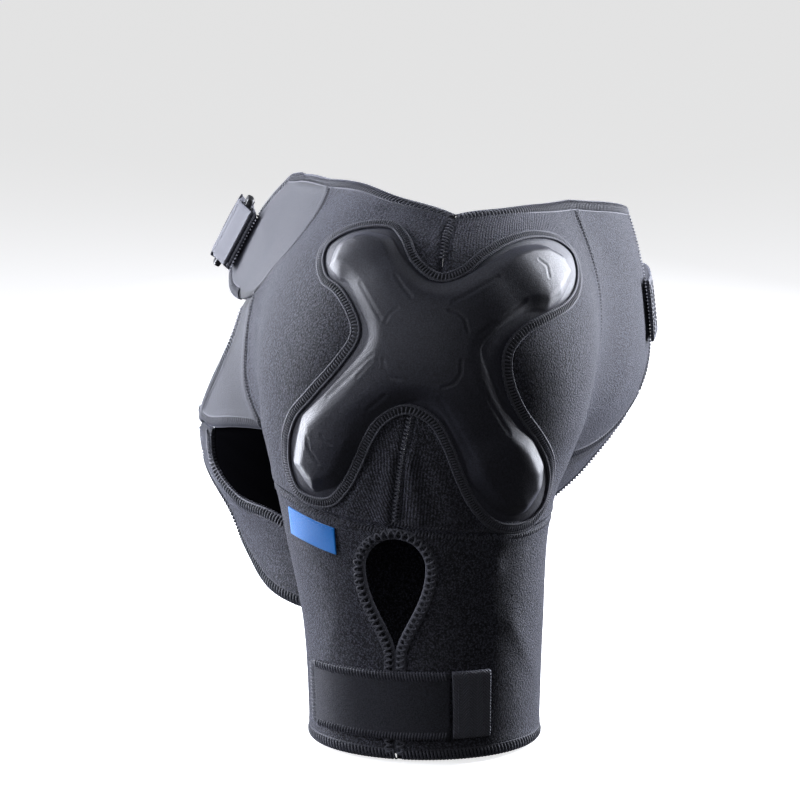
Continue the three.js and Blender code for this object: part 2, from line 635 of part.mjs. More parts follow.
// The body strap takes over a millimetre past the end of the ring's fold.
const foldEnd = V(ringPitch + foldLeg + 1, 0, 0).applyMatrix4(ringGroup.matrix);
const strapStart = THREE.MathUtils.radToDeg(Math.atan2(foldEnd.y, foldEnd.x - torsoAxisX));
const strapEnd = -286;
const flat = (height) => () => height;
add('body_strap',
  ribbon(strapStart, strapEnd, webbingWidth, flat(webbingBase), flat(webbingTop), 44), webbing);
const anchorBase = flat(webbingTop + 0.5);
const anchorTop = flat(webbingTop + 1.6);
add('strap_anchor', ribbon(strapEnd + 1, strapEnd + 9, webbingWidth - 4, anchorBase, anchorTop, 3), thread);
const tailThickness = 1.6;
const tailBase = (s) => mix(ringLift + foldBore, webbingTop + 2, THREE.MathUtils.smoothstep(s, 0, 0.36));
const tailTop = (s) => tailBase(s) + tailThickness;
add('strap_tail',
  ribbon(strapStart, strapStart - strapTailTurn, webbingWidth, tailBase, tailTop, 16), webbing);
const patchStart = strapStart - 0.5 * strapTailTurn;
const patchEnd = strapStart - 0.98 * strapTailTurn;
add('tail_hook_patch',
  ribbon(patchStart, patchEnd, webbingWidth - 3, flat(webbingTop + 0.5), flat(webbingTop + 1.5), 7), thread);

const tabLift = 13;
const tabTop = () => sleeveHemZ + tabLift + sleeveTabHeight;
const tabHinge = 17;
const tabBase = tapeTop + tapeGap;
const tabFace = tabBase + tailThickness;
add('sleeve_tab_base',
  sleeveRibbon(tabHinge + 1, tabHinge + 22, tabTop, sleeveTabHeight, tapeBase, tabFace, 4), webbing);
add('sleeve_tab', sleeveRibbon(tabHinge - 1, -68, tabTop, sleeveTabHeight, tabBase, tabFace, 15), webbing);
add('tab_hook_patch',
  sleeveRibbon(-44, -67, (d) => tabTop(d) - 1.5, sleeveTabHeight - 3, tapeBase, tabBase - 0.4, 5), thread);

export default part;
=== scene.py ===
"""Padded shoulder brace for snow sports: the finished look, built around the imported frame.

Lengths are worked out in millimetres, in the frame's own axes (+X out over the upper arm, +Y to the
wearer's back, +Z up, origin at the shoulder joint), and become metres when a mesh is made.
"""

import bmesh
import bpy
import numpy as np
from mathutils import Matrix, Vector


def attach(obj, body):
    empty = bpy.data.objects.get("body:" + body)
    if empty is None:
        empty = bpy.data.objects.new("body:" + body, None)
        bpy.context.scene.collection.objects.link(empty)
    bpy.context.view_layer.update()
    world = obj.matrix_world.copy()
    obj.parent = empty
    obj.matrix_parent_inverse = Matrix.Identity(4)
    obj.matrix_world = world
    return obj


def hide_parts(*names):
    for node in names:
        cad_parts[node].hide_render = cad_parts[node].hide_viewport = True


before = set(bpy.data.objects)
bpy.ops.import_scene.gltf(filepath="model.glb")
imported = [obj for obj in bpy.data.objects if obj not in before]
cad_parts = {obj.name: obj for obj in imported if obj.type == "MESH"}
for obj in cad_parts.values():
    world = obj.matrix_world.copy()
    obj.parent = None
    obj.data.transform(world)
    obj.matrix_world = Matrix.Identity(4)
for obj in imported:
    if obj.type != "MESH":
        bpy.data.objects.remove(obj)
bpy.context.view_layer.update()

MM = 0.001

# ---- sizes shared with the frame, in millimetres ---------------------------------------------
TORSO_AXIS_X = -195
FABRIC = 3.5
SKIN_GAP = 0.3
FABRIC_TOP = SKIN_GAP + FABRIC
TAPE_TOP = FABRIC_TOP + 0.85 + 0.9
EDGE_WIDTH = 6
SLEEVE_HEM_Z = -224
UNDERARM_Z = -128
UNDERARM_TOP = -112
KEYHOLE_WIDTH = 36
KEYHOLE_TOP_Z = -97
KEYHOLE_NECK_Z = -166
KEYHOLE_Y = -15
SLIT_WIDTH = 1.6
PAD_BAND_WIDTH = 6
PAD_RADIUS = 78
PAD_LOW_SHARE = 0.6
WEBBING_WIDTH = 36
WEBBING = 2
WEBBING_BASE = TAPE_TOP + 0.8
WEBBING_TOP = WEBBING_BASE + WEBBING
RING_BAR = 4
RING_PITCH = 13
RING_SLOT_CLEARANCE = 1.5
RING_X = -163
STRAP_FRONT_Z = 35
STRAP_END = -286
STRAP_TAIL_TURN = 46
FOLD_BORE = np.hypot(RING_BAR, RING_BAR) / 2 + 0.4
FOLD_OUTER = FOLD_BORE + WEBBING
RING_LIFT = WEBBING_BASE + FOLD_OUTER
FOLD_LEG = 8
LOOP_LEG = 24
TAB_HEIGHT = 38
TAB_LIFT = 13
TAB_HINGE = 17
TAB_TIP = -68
TAB_BASE = TAPE_TOP + 0.85
TAB_CLOTH = 1.6
LABEL_LENGTH = 30
LABEL_HEIGHT = 15


# ---- small maths -----------------------------------------------------------------------------
def unit(v):
    """Each vector over its own length."""
    return v / np.maximum(np.linalg.norm(v, axis=-1, keepdims=True), 1e-9)


def mix(a, b, t):
    """Straight proportion: a where t is 0, b where it is 1."""
    return a + (b - a) * t


def smoothstep(x, low, high):
    """0 up to low, 1 from high, and the cubic 3tt - 2ttt between them."""
    t = np.clip((x - low) / (high - low), 0, 1)
    return t * t * (3 - 2 * t)


def smooth_min(a, b, k):
    """The smaller of two fields, with a round join k wide."""
    h = np.clip(0.5 + 0.5 * (b - a) / k, 0, 1)
    return mix(b, a, h) - k * h * (1 - h)


def smooth_max(a, b, k):
    """The larger of two fields, with a round join k wide."""
    return -smooth_min(-a, -b, k)


def bump(distance, width):
    """A bell of height 1 at distance 0 that has faded at twice the width."""
    return np.exp(-((distance / width) ** 2))


def levels(pairs):
    """A smooth curve of value against height: a cubic between neighbouring pairs, with the slope at
    each pair taken between the pairs on either side of it."""
    z, value = np.array(pairs, float).T
    before = np.maximum(np.arange(len(z)) - 1, 0)
    after = np.minimum(np.arange(len(z)) + 1, len(z) - 1)
    slope = (value[after] - value[before]) / (z[after] - z[before])

    def at(height):
        i = np.clip(np.searchsorted(z, height) - 1, 0, len(z) - 2)
        h = z[i + 1] - z[i]
        t = np.clip((height - z[i]) / h, 0, 1)
        lean = h * t * (1 - t) * ((1 - t) * slope[i] - t * slope[i + 1])
        return mix(value[i], value[i + 1], t * t * (3 - 2 * t)) + lean

    return at


# ---- the wearer's form, as a distance field --------------------------------------------------
torso_half_width = levels([(-260, 112), (-150, 118), (-100, 134), (-60, 156), (20, 178), (90, 160)])
torso_front = levels(
    [(-260, -104), (-190, -130), (-150, -124), (-95, -140), (-30, -139), (30, -115), (80, -86)])
torso_back = levels(
    [(-260, 50), (-190, 48), (-140, 62), (-100, 98), (-50, 126), (0, 126), (60, 112), (110, 90)])
arm_half_width = levels([(-260, 50), (-160, 52), (-90, 56), (-30, 60)])
arm_half_depth = levels([(-260, 60), (-160, 64), (-95, 72), (-45, 85)])
arm_middle = levels([(-260, 0), (-160, -1), (-95, -5), (-30, -2)])


def ellipse(x, y, a, b):
    """Near enough the distance to an ellipse with half axes a and b."""
    k0 = np.hypot(x / a, y / b) + 1e-9
    k1 = np.hypot(x / (a * a), y / (b * b)) + 1e-9
    return k0 * (k0 - 1) / k1


def torso(p):
    """An upright oval whose width and depth change with height, cut by the slope of the
    shoulder."""
    x, y, z = p[..., 0], p[..., 1], p[..., 2]
    front, back = torso_front(z), torso_back(z)
    side = ellipse(x - TORSO_AXIS_X, y - (front + back) / 2, torso_half_width(z),
        (back - front) / 2)
    return smooth_max(side, (z - 86 + 0.42 * (x + 10)) * 0.92, 30)


def arm(p):
    """The upper arm: an upright oval, closed above by a flat."""
    x, y, z = p[..., 0], p[..., 1], p[..., 2]
    side = ellipse(x - 2, y - arm_middle(z), arm_half_width(z), arm_half_depth(z))
    return smooth_max(side, z - 10, 40)


def trunk(p):
    """The torso joined to the ball of the shoulder."""
    q = p - np.array([-12, 2, -6])
    k0 = np.linalg.norm(q / np.array([76, 88, 84]), axis=-1)
    k1 = np.linalg.norm(q / np.array([76, 88, 84]) ** 2, axis=-1) + 1e-9
    return smooth_min(torso(p), k0 * (k0 - 1) / k1, 60)


def wearer(p):
    """The trunk and the arm, joined with a small round."""
    return smooth_min(trunk(p), arm(p), 16)


def gradient(form, p, h=0.5):
    """The slope of a field by central differences."""
    steps = np.eye(3) * h
    return np.stack([form(p + d) - form(p - d) for d in steps], -1) / (2 * h)


def settle(p, height, form=wearer, rounds=9):
    """Moves points along the slope of the form until they stand off it by the height."""
    for _ in range(rounds):
        g = gradient(form, p)
        step = (form(p) - height) / np.maximum(0.05, (g * g).sum(-1)) * 0.85
        p = p - g * step[..., None]
    return p


def reach(origin, direction, height, form=wearer, rounds=26):
    """Walks out from inside points along directions to the height over the form, by halving."""
    low = np.full(direction.shape[:-1], 10.0)
    high = np.full(direction.shape[:-1], 220.0)
    for _ in range(rounds):
        middle = (low + high) / 2
        inside = form(origin + direction * middle[..., None]) < height
        low, high = np.where(inside, middle, low), np.where(inside, high, middle)
    return origin + direction * low[..., None]


def outward(form, p):
    """The form's own slope at the points, as unit normals."""
    return unit(gradient(form, p))


# ---- seam and edge lines ---------------------------------------------------------------------
def spline(points, closed=False, steps=48):
    """A centripetal Catmull-Rom curve through the points, sampled evenly inside each span."""
    p = np.asarray(points, float)
    if closed:
        p0, p1, p2, p3 = np.roll(p, 1, 0), p, np.roll(p, -1, 0), np.roll(p, -2, 0)
    else:
        whole = np.vstack([2 * p[0] - p[1], p, 2 * p[-1] - p[-2]])
        p0, p1, p2, p3 = whole[:-3], whole[1:-2], whole[2:-1], whole[3:]
    d0, d1, d2 = (np.sqrt(np.linalg.norm(b - a, axis=-1, keepdims=True) + 1e-9)
                  for a, b in ((p0, p1), (p1, p2), (p2, p3)))
    m1 = ((p1 - p0) / d0 - (p2 - p0) / (d0 + d1) + (p2 - p1) / d1) * d1
    m2 = ((p2 - p1) / d1 - (p3 - p1) / (d1 + d2) + (p3 - p2) / d2) * d1
    t = (np.arange(steps) / steps)[None, :, None]
    p1, p2, m1, m2 = (v[:, None] for v in (p1, p2, m1, m2))
    cubic = ((2 * t**3 - 3 * t**2 + 1) * p1 + (t**3 - 2 * t**2 + t) * m1
             + (3 * t**2 - 2 * t**3) * p2 + (t**3 - t**2) * m2)
    last = p[:1] if closed else p[-1:]
    return np.vstack([cubic.reshape(-1, p.shape[1]), last])


class Line:
    """A curve that is read by its share of length, from 0 to 1."""

    def __init__(self, samples):
        self.samples = samples
        gaps = np.linalg.norm(np.diff(samples, axis=0), axis=-1)
        self.run = np.concatenate([[0], np.cumsum(gaps)])
        self.length = self.run[-1]

    def at(self, t):
        s = np.clip(t, 0, 1) * self.length
        return np.stack([np.interp(s, self.run, c) for c in self.samples.T], -1)

    def stations(self, pitch, start=0.0, end=0.0):
        """Shares of length one pitch apart, clear of both ends by the given lengths."""
        count = max(2, int(round((self.length - start - end) / pitch)))
        return np.linspace(start, self.length - end, count + 1) / self.length


def line(*points, form=wearer):
    """A curve through points that are first laid onto the form."""
    return Line(spline(settle(np.array(points, float), 0, form)))


def joined(*lines):
    """Lines end to end, as one."""
    return Line(np.vstack([part.samples[:-1] for part in lines[:-1]] + [lines[-1].samples]))


def portion(whole, start, end):
    """The part of a line between two shares of its length."""
    return Line(whole.at(np.linspace(start, end, 200)))


neckline_front = line((-128, -82, 79), (-95, -70, 82), (-61, -56, 84))
neckline_shoulder = line((-61, -56, 84), (-28, -37, 86), (3, -14, 83), (18, 17, 75))
neckline_back = line((18, 17, 75), (0, 42, 76), (-28, 62, 75), (-69, 81, 72))
neckline_spine = line((-69, 81, 72), (-124, 105, 63), (-168, 112, 54))
neckline = joined(neckline_front, neckline_shoulder, neckline_back, neckline_spine)
chest_seam = line((-61, -56, 84), (-36, -66, 66), (-30, -76, 50), (-60, -92, 32), (-82, -103, 16))
armscye_seam = line((-82, -103, 16), (-76, -108, -12), (-74, -109, -42), (-64, -102, -66))
front_side = joined(chest_seam, armscye_seam)
shoulder_seam = line(
    (18, 17, 75), (36, 12, 64), (62, 8, 26), (70, -4, -20), (65, -11, -55), (59, -15, -91))
sleeve_seam_front = line((-64, -102, -66), (-20, -92, -76), (33, -73, -81), (50, -49, -87),
    (59, -15, -91))
sleeve_seam_back = line((59, -15, -91), (58, 21, -95), (40, 53, -98), (14, 76, -97), (-14, 90, -97))
back_seam = line((-69, 81, 72), (-62, 98, 30), (-52, 106, -20), (-36, 104, -60), (-14, 90, -97))
spine_edge = line((-168, 112, 54), (-178, 122, 20), (-180, 125, -20), (-168, 120, -56))
wing_hem = line((-14, 90, -97), (-52, 92, -102), (-90, 96, -100), (-132, 108, -84),
    (-168, 120, -56))
tab_edge = line((-128, -82, 79), (-146, -96, 64), (-153, -104, 54), (-155, -110, 36),
    (-154, -118, 14))
tab_hem = line((-154, -118, 14), (-128, -118, 8), (-104, -111, 8), (-82, -103, 16))
pec_edge = line((-98, -109, 10), (-102, -119, -17), (-127, -134, -48), (-158, -139, -72))
pec_top = line((-98, -109, 10), (-90, -106, 11), (-82, -103, 16))
pec_hem = line((-158, -139, -72), (-128, -136, -74), (-96, -119, -68), (-64, -102, -66))
under_wing = [tuple(wing_hem.at(t) + np.array([0, 0, -1.8])) for t in (0.36, 0.55, 0.75, 0.95)]
band_front = line((-130, -137, -77), (-145, -139, -76), (-160, -139, -75), form=trunk)
band_back = line(*under_wing, form=trunk)
band_top = line(
    (-130, -137, -77), (-136, -137, -98), (-116, -118, -114), (-92, -96, -118), (-76, -62, -128),
    (-72, -20, -134), (-74, 25, -130), (-80, 60, -118), under_wing[0], form=trunk)
band_hem = line(
    (-160, -139, -75), (-166, -138, -102), (-138, -126, -124), (-130, -114, -146),
    (-104, -98, -166),
    (-84, -60, -176), (-80, -15, -178), (-88, 30, -168), (-112, 62, -146), (-140, 92, -116),
    under_wing[3], form=trunk)

# The gusset's sides run just under the pec strip and the band, and behind the arm.
gusset_top = line((-131, -137, -76), (-112, -130, -72), (-96, -121, -69), (-70, -106, -67),
    form=trunk)
gusset_front = line((-131, -137, -76), (-139, -137, -98), (-118, -120, -117), form=trunk)
gusset_hem = line((-118, -120, -117), (-93, -98, -121), (-80, -68, -130), form=trunk)
gusset_back = line((-70, -106, -67), (-72, -92, -95), (-80, -68, -130), form=trunk)


# ---- meshes from arrays ----------------------------------------------------------------------
class Shape:
    """Points with their quads and triangles, before they become a mesh."""

    def __init__(self, points, quads=None, tris=None, uv=None):
        self.points = np.asarray(points, float).reshape(-1, 3)
        self.quads = np.zeros((0, 4), int) if quads is None else np.asarray(quads, int).reshape(-1,
            4)
        self.tris = np.zeros((0, 3), int) if tris is None else np.asarray(tris, int).reshape(-1, 3)
        self.uv = np.zeros((len(self.points), 2)) if uv is None else np.asarray(uv,
            float).reshape(-1, 2)


def together(*shapes):
    """Several shapes as one, with their face numbers moved on."""
    starts = np.cumsum([0] + [len(s.points) for s in shapes[:-1]])
    return Shape(
        np.vstack([s.points for s in shapes]),
        np.vstack([s.quads + n for s, n in zip(shapes, starts)]),
        np.vstack([s.tris + n for s, n in zip(shapes, starts)]),
        np.vstack([s.uv for s in shapes]))


def make(name, shape, finish, fields=None):
    """A mesh object from a shape, at the origin, smooth shaded, with its UV map in millimetres."""
    mesh = bpy.data.meshes.new(name)
    corners = np.concatenate([shape.quads.ravel(), shape.tris.ravel()]).astype(np.int32)
    sizes = np.concatenate([np.full(len(shape.quads), 4),
        np.full(len(shape.tris), 3)]).astype(np.int32)
    mesh.vertices.add(len(shape.points))
    mesh.vertices.foreach_set("co", (shape.points * MM).astype(np.float32).ravel())
    mesh.loops.add(len(corners))
    mesh.loops.foreach_set("vertex_index", corners)
    mesh.polygons.add(len(sizes))
    mesh.polygons.foreach_set("loop_start", (np.cumsum(sizes) - sizes).astype(np.int32))
    mesh.polygons.foreach_set("loop_total", sizes)
    mesh.polygons.foreach_set("use_smooth", np.ones(len(sizes), bool))
    mesh.update(calc_edges=True)
    uv = mesh.uv_layers.new(name="cloth")
    uv.data.foreach_set("uv", shape.uv[corners].astype(np.float32).ravel())
    for field, values in (fields or {}).items():
        attribute = mesh.attributes.new(field, "FLOAT", "POINT")
        attribute.data.foreach_set("value", np.asarray(values, np.float32).ravel())
    mesh.validate()
    mesh.materials.append(finish)
    piece = bpy.data.objects.new(name, mesh)
    bpy.context.scene.collection.objects.link(piece)
    return piece


def stands_for(piece, body, *nodes):
    """The piece hides the frame's nodes and moves with the body."""
    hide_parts(*nodes)
    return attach(piece, body)


def lengths(grid, axis):
    """Running length along the rows or the columns of a grid of points."""
    gaps = np.linalg.norm(np.diff(grid, axis=axis), axis=-1)
    zero = np.zeros_like(np.take(gaps, [0], axis=axis))
    return np.concatenate([zero, np.cumsum(gaps, axis=axis)], axis=axis)


def grid_quads(rows, columns, closed=False):
    """The quads of a grid of points, row by row."""
    i = np.arange(columns if closed else columns - 1)
    j = np.arange(rows - 1)[:, None]
    a, b = j * columns + i, j * columns + (i + 1) % columns
    return np.stack([a, b, b + columns, a + columns], -1).reshape(-1, 4)


def facing_out(shape):
    """Turns every face over if the shape's signed volume is negative."""
    q, t = shape.quads, shape.tris
    faces = np.vstack([q[:, [0, 1, 2]], q[:, [0, 2, 3]], t])
    a, b, c = (shape.points[faces[:, k]] for k in range(3))
    if (a * np.cross(b, c)).sum() < 0:
        shape.quads, shape.tris = q[:, ::-1], t[:, ::-1]
    return shape


def kept_points(points, quads, uv=None):
    """A shape of the quads with only the points that they use, and those points' old numbers."""
    used, numbered = np.unique(quads, return_inverse=True)
    uv = None if uv is None else uv.reshape(-1, 2)[used]
    return Shape(points.reshape(-1, 3)[used], numbered.reshape(-1, 4), uv=uv), used


def closed_sheet(outer, inner):
    """Two grids of points, one over the other, closed by a rim between their edges."""
    rows, columns = outer.shape[:2]
    top = grid_quads(rows, columns)
    under = top[:, ::-1] + rows * columns
    i, j = np.arange(columns), np.arange(rows)
    ring = np.concatenate([i, (j * columns + columns - 1)[1:], ((rows - 1) * columns + i)[::-1][1:],
                           (j * columns)[::-1][1:-1]])
    after = np.roll(ring, -1)
    rim = np.stack([after, ring, ring + rows * columns, after + rows * columns], -1)
    uv = np.stack([lengths(outer, 1), lengths(outer, 0)], -1)
    points = np.concatenate([outer.reshape(-1, 3), inner.reshape(-1, 3)])
    return facing_out(Shape(points, np.vstack([top, under, rim]), uv=np.concatenate([uv, uv])))


def tubes(paths, ups, radius, sides=6, flat=1.0, closed=False):
    """Threads: every path carries rings of corners square to its run, flattened along the given up
    direction, and each open end closes on one point."""
    count, steps = paths.shape[:2]
    if closed:
        run = unit(np.roll(paths, -1, 1) - np.roll(paths, 1, 1))
    else:
        run = unit(np.gradient(paths, axis=1))
    side = unit(np.cross(run, ups))
    up = np.cross(side, run)
    angle = np.arange(sides) * 2 * np.pi / sides
    reach_out = np.broadcast_to(radius, (count, steps))[..., None, None]
    ring = paths[:, :, None] + reach_out * (
        np.cos(angle)[:, None] * side[:, :, None] + flat * np.sin(angle)[:, None] * up[:, :, None])
    number = np.arange(count * steps * sides).reshape(count, steps, sides)
    here, after = (number, np.roll(number, -1, 1)) if closed else (number[:, :-1], number[:, 1:])
    quads = np.stack([here, after, np.roll(after, -1, 2), np.roll(here, -1, 2)], -1).reshape(-1, 4)
    along = lengths(paths, 1)
    around = np.arange(sides) / sides
    uv = np.stack(np.broadcast_arrays(along[..., None], around), -1).reshape(-1, 2)
    if closed:
        return Shape(ring.reshape(-1, 3), quads, uv=uv)
    tip = np.broadcast_to(radius, (count, steps))[:, [0, -1]][..., None] * 0.6
    ends = np.stack([paths[:, 0] - run[:, 0] * tip[:, 0], paths[:, -1] + run[:, -1] * tip[:, 1]], 1)
    first = count * steps * sides + 2 * np.arange(count)[:, None]
    start, finish = number[:, 0], number[:, -1]
    tris = np.concatenate([
        np.stack([np.broadcast_to(first, start.shape), start, np.roll(start, -1, 1)],
            -1).reshape(-1, 3),
        np.stack([np.broadcast_to(first + 1, finish.shape), np.roll(finish, -1, 1), finish],
            -1).reshape(-1, 3)])
    uv_ends = np.stack([np.stack([along[:, 0], along[:, -1]], 1), np.zeros((count, 2))],
        -1).reshape(-1, 2)
    points = np.concatenate([ring.reshape(-1, 3), ends.reshape(-1, 3)])
    return Shape(points, quads, tris, np.concatenate([uv, uv_ends]))


# ---- finishes --------------------------------------------------------------------------------
class Nodes:
    """A short hand for building one material's node tree."""

    def __init__(self, name):
        self.material = bpy.data.materials.new(name)
        self.material.use_nodes = True
        self.tree = self.material.node_tree
        self.shader = self.tree.nodes["Principled BSDF"]

    def add(self, kind, values=None, **settings):
        node = self.tree.nodes.new(kind)
        for key, value in settings.items():
            setattr(node, key, value)
        for key, value in (values or {}).items():
            self.put(node.inputs[key], value)
        return node

    def put(self, socket, value):
        if isinstance(value, bpy.types.NodeSocket):
            self.tree.links.new(value, socket)
        else:
            socket.default_value = value

    def shade(self, **values):
        for key, value in values.items():
            self.put(self.shader.inputs[key.replace("_", " ")], value)

    def place(self):
        return self.add("ShaderNodeTexCoord").outputs["Object"]

    def uv(self):
        return self.add("ShaderNodeUVMap", uv_map="cloth").outputs["UV"]

    def field(self, name):
        return self.add("ShaderNodeAttribute", attribute_name=name).outputs["Fac"]

    def maths(self, operation, a, b=0.0, c=0.0):
        return self.add("ShaderNodeMath", {0: a, 1: b, 2: c}, operation=operation).outputs[0]

    def noise(self, where, grain_mm, detail=2.0, roughness=0.55):
        values = {"Vector": where, "Scale": 1 / (grain_mm * MM), "Detail": detail,
            "Roughness": roughness}
        return self.add("ShaderNodeTexNoise", values).outputs["Fac"]

    def cells(self, where, size_mm, feature="F1"):
        values = {"Vector": where, "Scale": 1 / (size_mm * MM)}
        return self.add("ShaderNodeTexVoronoi", values, feature=feature).outputs["Distance"]

    def remap(self, value, low, high, to_low, to_high):
        values = {"Value": value, "From Min": low, "From Max": high, "To Min": to_low,
            "To Max": to_high}
        return self.add("ShaderNodeMapRange", values).outputs["Result"]

    def blend(self, share, a, b):
        return self.add("ShaderNodeMix", {0: share, 6: a, 7: b}, data_type="RGBA").outputs[2]

    def relief(self, height, depth_mm, strength=1.0):
        values = {"Height": height, "Distance": depth_mm * MM, "Strength": strength}
        self.put(self.shader.inputs["Normal"], self.add("ShaderNodeBump", values).outputs["Normal"])


def colour(red, green, blue):
    """A solid colour with its alpha."""
    return (red, green, blue, 1.0)


def pile_neoprene():
    """Brushed loop pile: small round loops with dark gaps, cloudy patches, and fine upright ribs
    where the cloth is stretched. Near the overlocked edges the colour is darkened as painted shade
    under the stitches."""
    n = Nodes("pile_neoprene")
    where = n.place()
    loops = n.cells(where, 1.1)
    fuzz = n.noise(where, 0.95, 3.0, 0.75)
    patches = n.noise(where, 14.0, 3.0)
    u = n.add("ShaderNodeSeparateXYZ", {0: n.uv()}).outputs[0]
    rib = n.maths("SINE", n.maths("MULTIPLY", u, 2 * np.pi / 1.8))
    ribbed = n.maths("MULTIPLY", rib, n.field("stretch"))
    crown = n.maths("SUBTRACT", n.maths("MULTIPLY", fuzz, 1.5), n.maths("MULTIPLY", loops, 0.7))
    height = n.maths("MULTIPLY_ADD", ribbed, 0.26, crown)
    dark = n.remap(height, 0.30, 0.75, 0.0, 1.0)
    base = n.blend(dark, colour(0.0015, 0.0015, 0.002), colour(0.110, 0.112, 0.142))
    cloudy = n.blend(n.remap(patches, 0.35, 0.7, 0.0, 0.35), base, colour(0.012, 0.012, 0.016))
    # painted shade: the colour goes near black under the overlock stitches, standing in for the
    # shade between the threads
    stitch_shade = n.blend(n.field("bound"), cloudy, colour(0.004, 0.004, 0.005))
    n.shade(Base_Color=stitch_shade, Roughness=n.remap(fuzz, 0.3, 0.7, 0.65, 0.9), Specular_IOR_Level=0.30,
            Sheen_Weight=0.24, Sheen_Roughness=0.40, Sheen_Tint=colour(0.74, 0.77, 1.0))
    n.relief(height, 0.85, 1.0)
    return n.material


def smooth_neoprene():
    """Flat jersey over foam: very fine knit, softly clouded, with painted shade under the
    overlocked edges.
    """
    n = Nodes("smooth_neoprene")
    where = n.place()
    grain = n.noise(where, 0.8, 3.0, 0.7)
    patches = n.noise(where, 18.0, 2.0)
    base = n.blend(n.remap(grain, 0.35, 0.65, 0.0, 1.0), colour(0.004, 0.004, 0.006),
        colour(0.040, 0.041, 0.054))
    cloudy = n.blend(n.remap(patches, 0.35, 0.7, 0.0, 0.3), base, colour(0.018, 0.018, 0.023))
    # painted shade: the colour goes near black under the overlock stitches, standing in for the
    # shade between the threads
    stitch_shade = n.blend(n.field("bound"), cloudy, colour(0.006, 0.006, 0.007))
    n.shade(Base_Color=stitch_shade, Roughness=n.remap(grain, 0.3, 0.7, 0.62, 0.8), Specular_IOR_Level=0.32,
            Sheen_Weight=0.13, Sheen_Roughness=0.4, Sheen_Tint=colour(0.75, 0.78, 1.0))
    n.relief(grain, 0.45, 0.9)
    return n.material


def gusset_knit():
    """Thin stretch knit, coloured near black and given no specular: painted shadow for the deep
    shade of the armpit.
    """
    n = Nodes("gusset_knit")
    grain = n.noise(n.place(), 0.6, 2.0)
    base = n.blend(grain, colour(0.0005, 0.0005, 0.0007), colour(0.0016, 0.0016, 0.0020))
    n.shade(Base_Color=base, Roughness=n.remap(grain, 0.3, 0.7, 0.75, 0.9), Specular_IOR_Level=0.0)
    n.relief(grain, 0.1, 0.5)
    return n.material


def pad_film():
    """Satin stretch skin: smooth and bright where it is pulled over the raised core, grainy where
    it lies flat in the margin."""
    n = Nodes("pad_film")
    where = n.place()
    raised = n.field("raised")
    grain = n.noise(where, 0.9, 3.0, 0.75)
    cloud = n.noise(where, 9.0, 3.0)
    speckle = n.maths("MULTIPLY", grain, n.remap(raised, 0.0, 1.0, 1.0, 0.9))
    base = n.blend(n.remap(speckle, 0.3, 0.62, 0.0, 1.0), colour(0.007, 0.007, 0.011),
        colour(0.036, 0.037, 0.052))
    gloss = n.remap(raised, 0.0, 1.0, 0.58, 0.46)
    n.shade(Base_Color=base, Roughness=n.maths("MULTIPLY_ADD", cloud, 0.10, gloss),
            Specular_IOR_Level=0.5, Sheen_Weight=0.06, Sheen_Roughness=0.35,
            Sheen_Tint=colour(0.75, 0.78, 1.0))
    n.relief(n.maths("MULTIPLY_ADD", cloud, 0.5, speckle), 0.22, 0.8)
    return n.material


def pad_foam():
    """Dense moulded foam with a faintly uneven skin."""
    n = Nodes("pad_foam")
    where = n.place()
    skin = n.noise(where, 1.2, 3.0)
    base = n.blend(skin, colour(0.035, 0.036, 0.042), colour(0.060, 0.061, 0.070))
    n.shade(Base_Color=base, Roughness=n.remap(skin, 0.3, 0.7, 0.5, 0.7), Specular_IOR_Level=0.4)
    n.relief(skin, 0.2, 0.5)
    return n.material


def stitching(name="stitching", shade=1.0):
    """Dull spun thread: short fibres and light and dark plies."""
    n = Nodes(name)
    where = n.place()
    ply = n.noise(where, 0.45, 2.0)
    dark = colour(0.014 * shade, 0.014 * shade, 0.017 * shade)
    light = colour(0.060 * shade, 0.061 * shade, 0.073 * shade)
    n.shade(Base_Color=n.blend(n.remap(ply, 0.35, 0.65, 0.0, 1.0), dark, light),
            Roughness=n.remap(ply, 0.3, 0.7, 0.55, 0.75), Specular_IOR_Level=0.35,
            Sheen_Weight=0.25,
            Sheen_Roughness=0.4, Sheen_Tint=colour(0.78, 0.80, 1.0))
    n.relief(ply, 0.18, 0.7)
    return n.material


def webbing_cloth():
    """Flat woven webbing: ribs across it, broken in a herringbone along it."""
    n = Nodes("webbing_cloth")
    split = n.add("ShaderNodeSeparateXYZ", {0: n.uv()})
    u, v = split.outputs[0], split.outputs[1]
    zigzag = n.maths("PINGPONG", v, 4.5)
    weave = n.maths("SINE", n.maths("MULTIPLY", n.maths("ADD", u, zigzag), 2 * np.pi / 1.7))
    warp = n.maths("SINE", n.maths("MULTIPLY", v, 2 * np.pi / 0.9))
    height = n.maths("MULTIPLY_ADD", warp, 0.4, weave)
    fibres = n.noise(n.place(), 0.4, 2.0)
    share = n.maths("MULTIPLY_ADD", fibres, 0.5, n.remap(height, -1.4, 1.4, 0.0, 0.6))
    n.shade(Base_Color=n.blend(share, colour(0.024, 0.024, 0.029), colour(0.125, 0.127, 0.150)),
            Roughness=n.remap(fibres, 0.3, 0.7, 0.55, 0.75), Specular_IOR_Level=0.35,
            Sheen_Weight=0.2,
            Sheen_Roughness=0.4, Sheen_Tint=colour(0.8, 0.82, 1.0))
    n.relief(height, 0.25, 0.7)
    return n.material


def hook_tape():
    """Rows of tiny nylon hooks on a black ground."""
    n = Nodes("hook_tape")
    where = n.place()
    hooks = n.cells(where, 1.3)
    share = n.remap(hooks, 0.1, 0.6, 1.0, 0.0)
    n.shade(Base_Color=n.blend(share, colour(0.004, 0.004, 0.005), colour(0.045, 0.045, 0.050)),
            Roughness=n.remap(hooks, 0.1, 0.6, 0.4, 0.8), Specular_IOR_Level=0.4)
    n.relief(share, 0.8, 1.0)
    return n.material


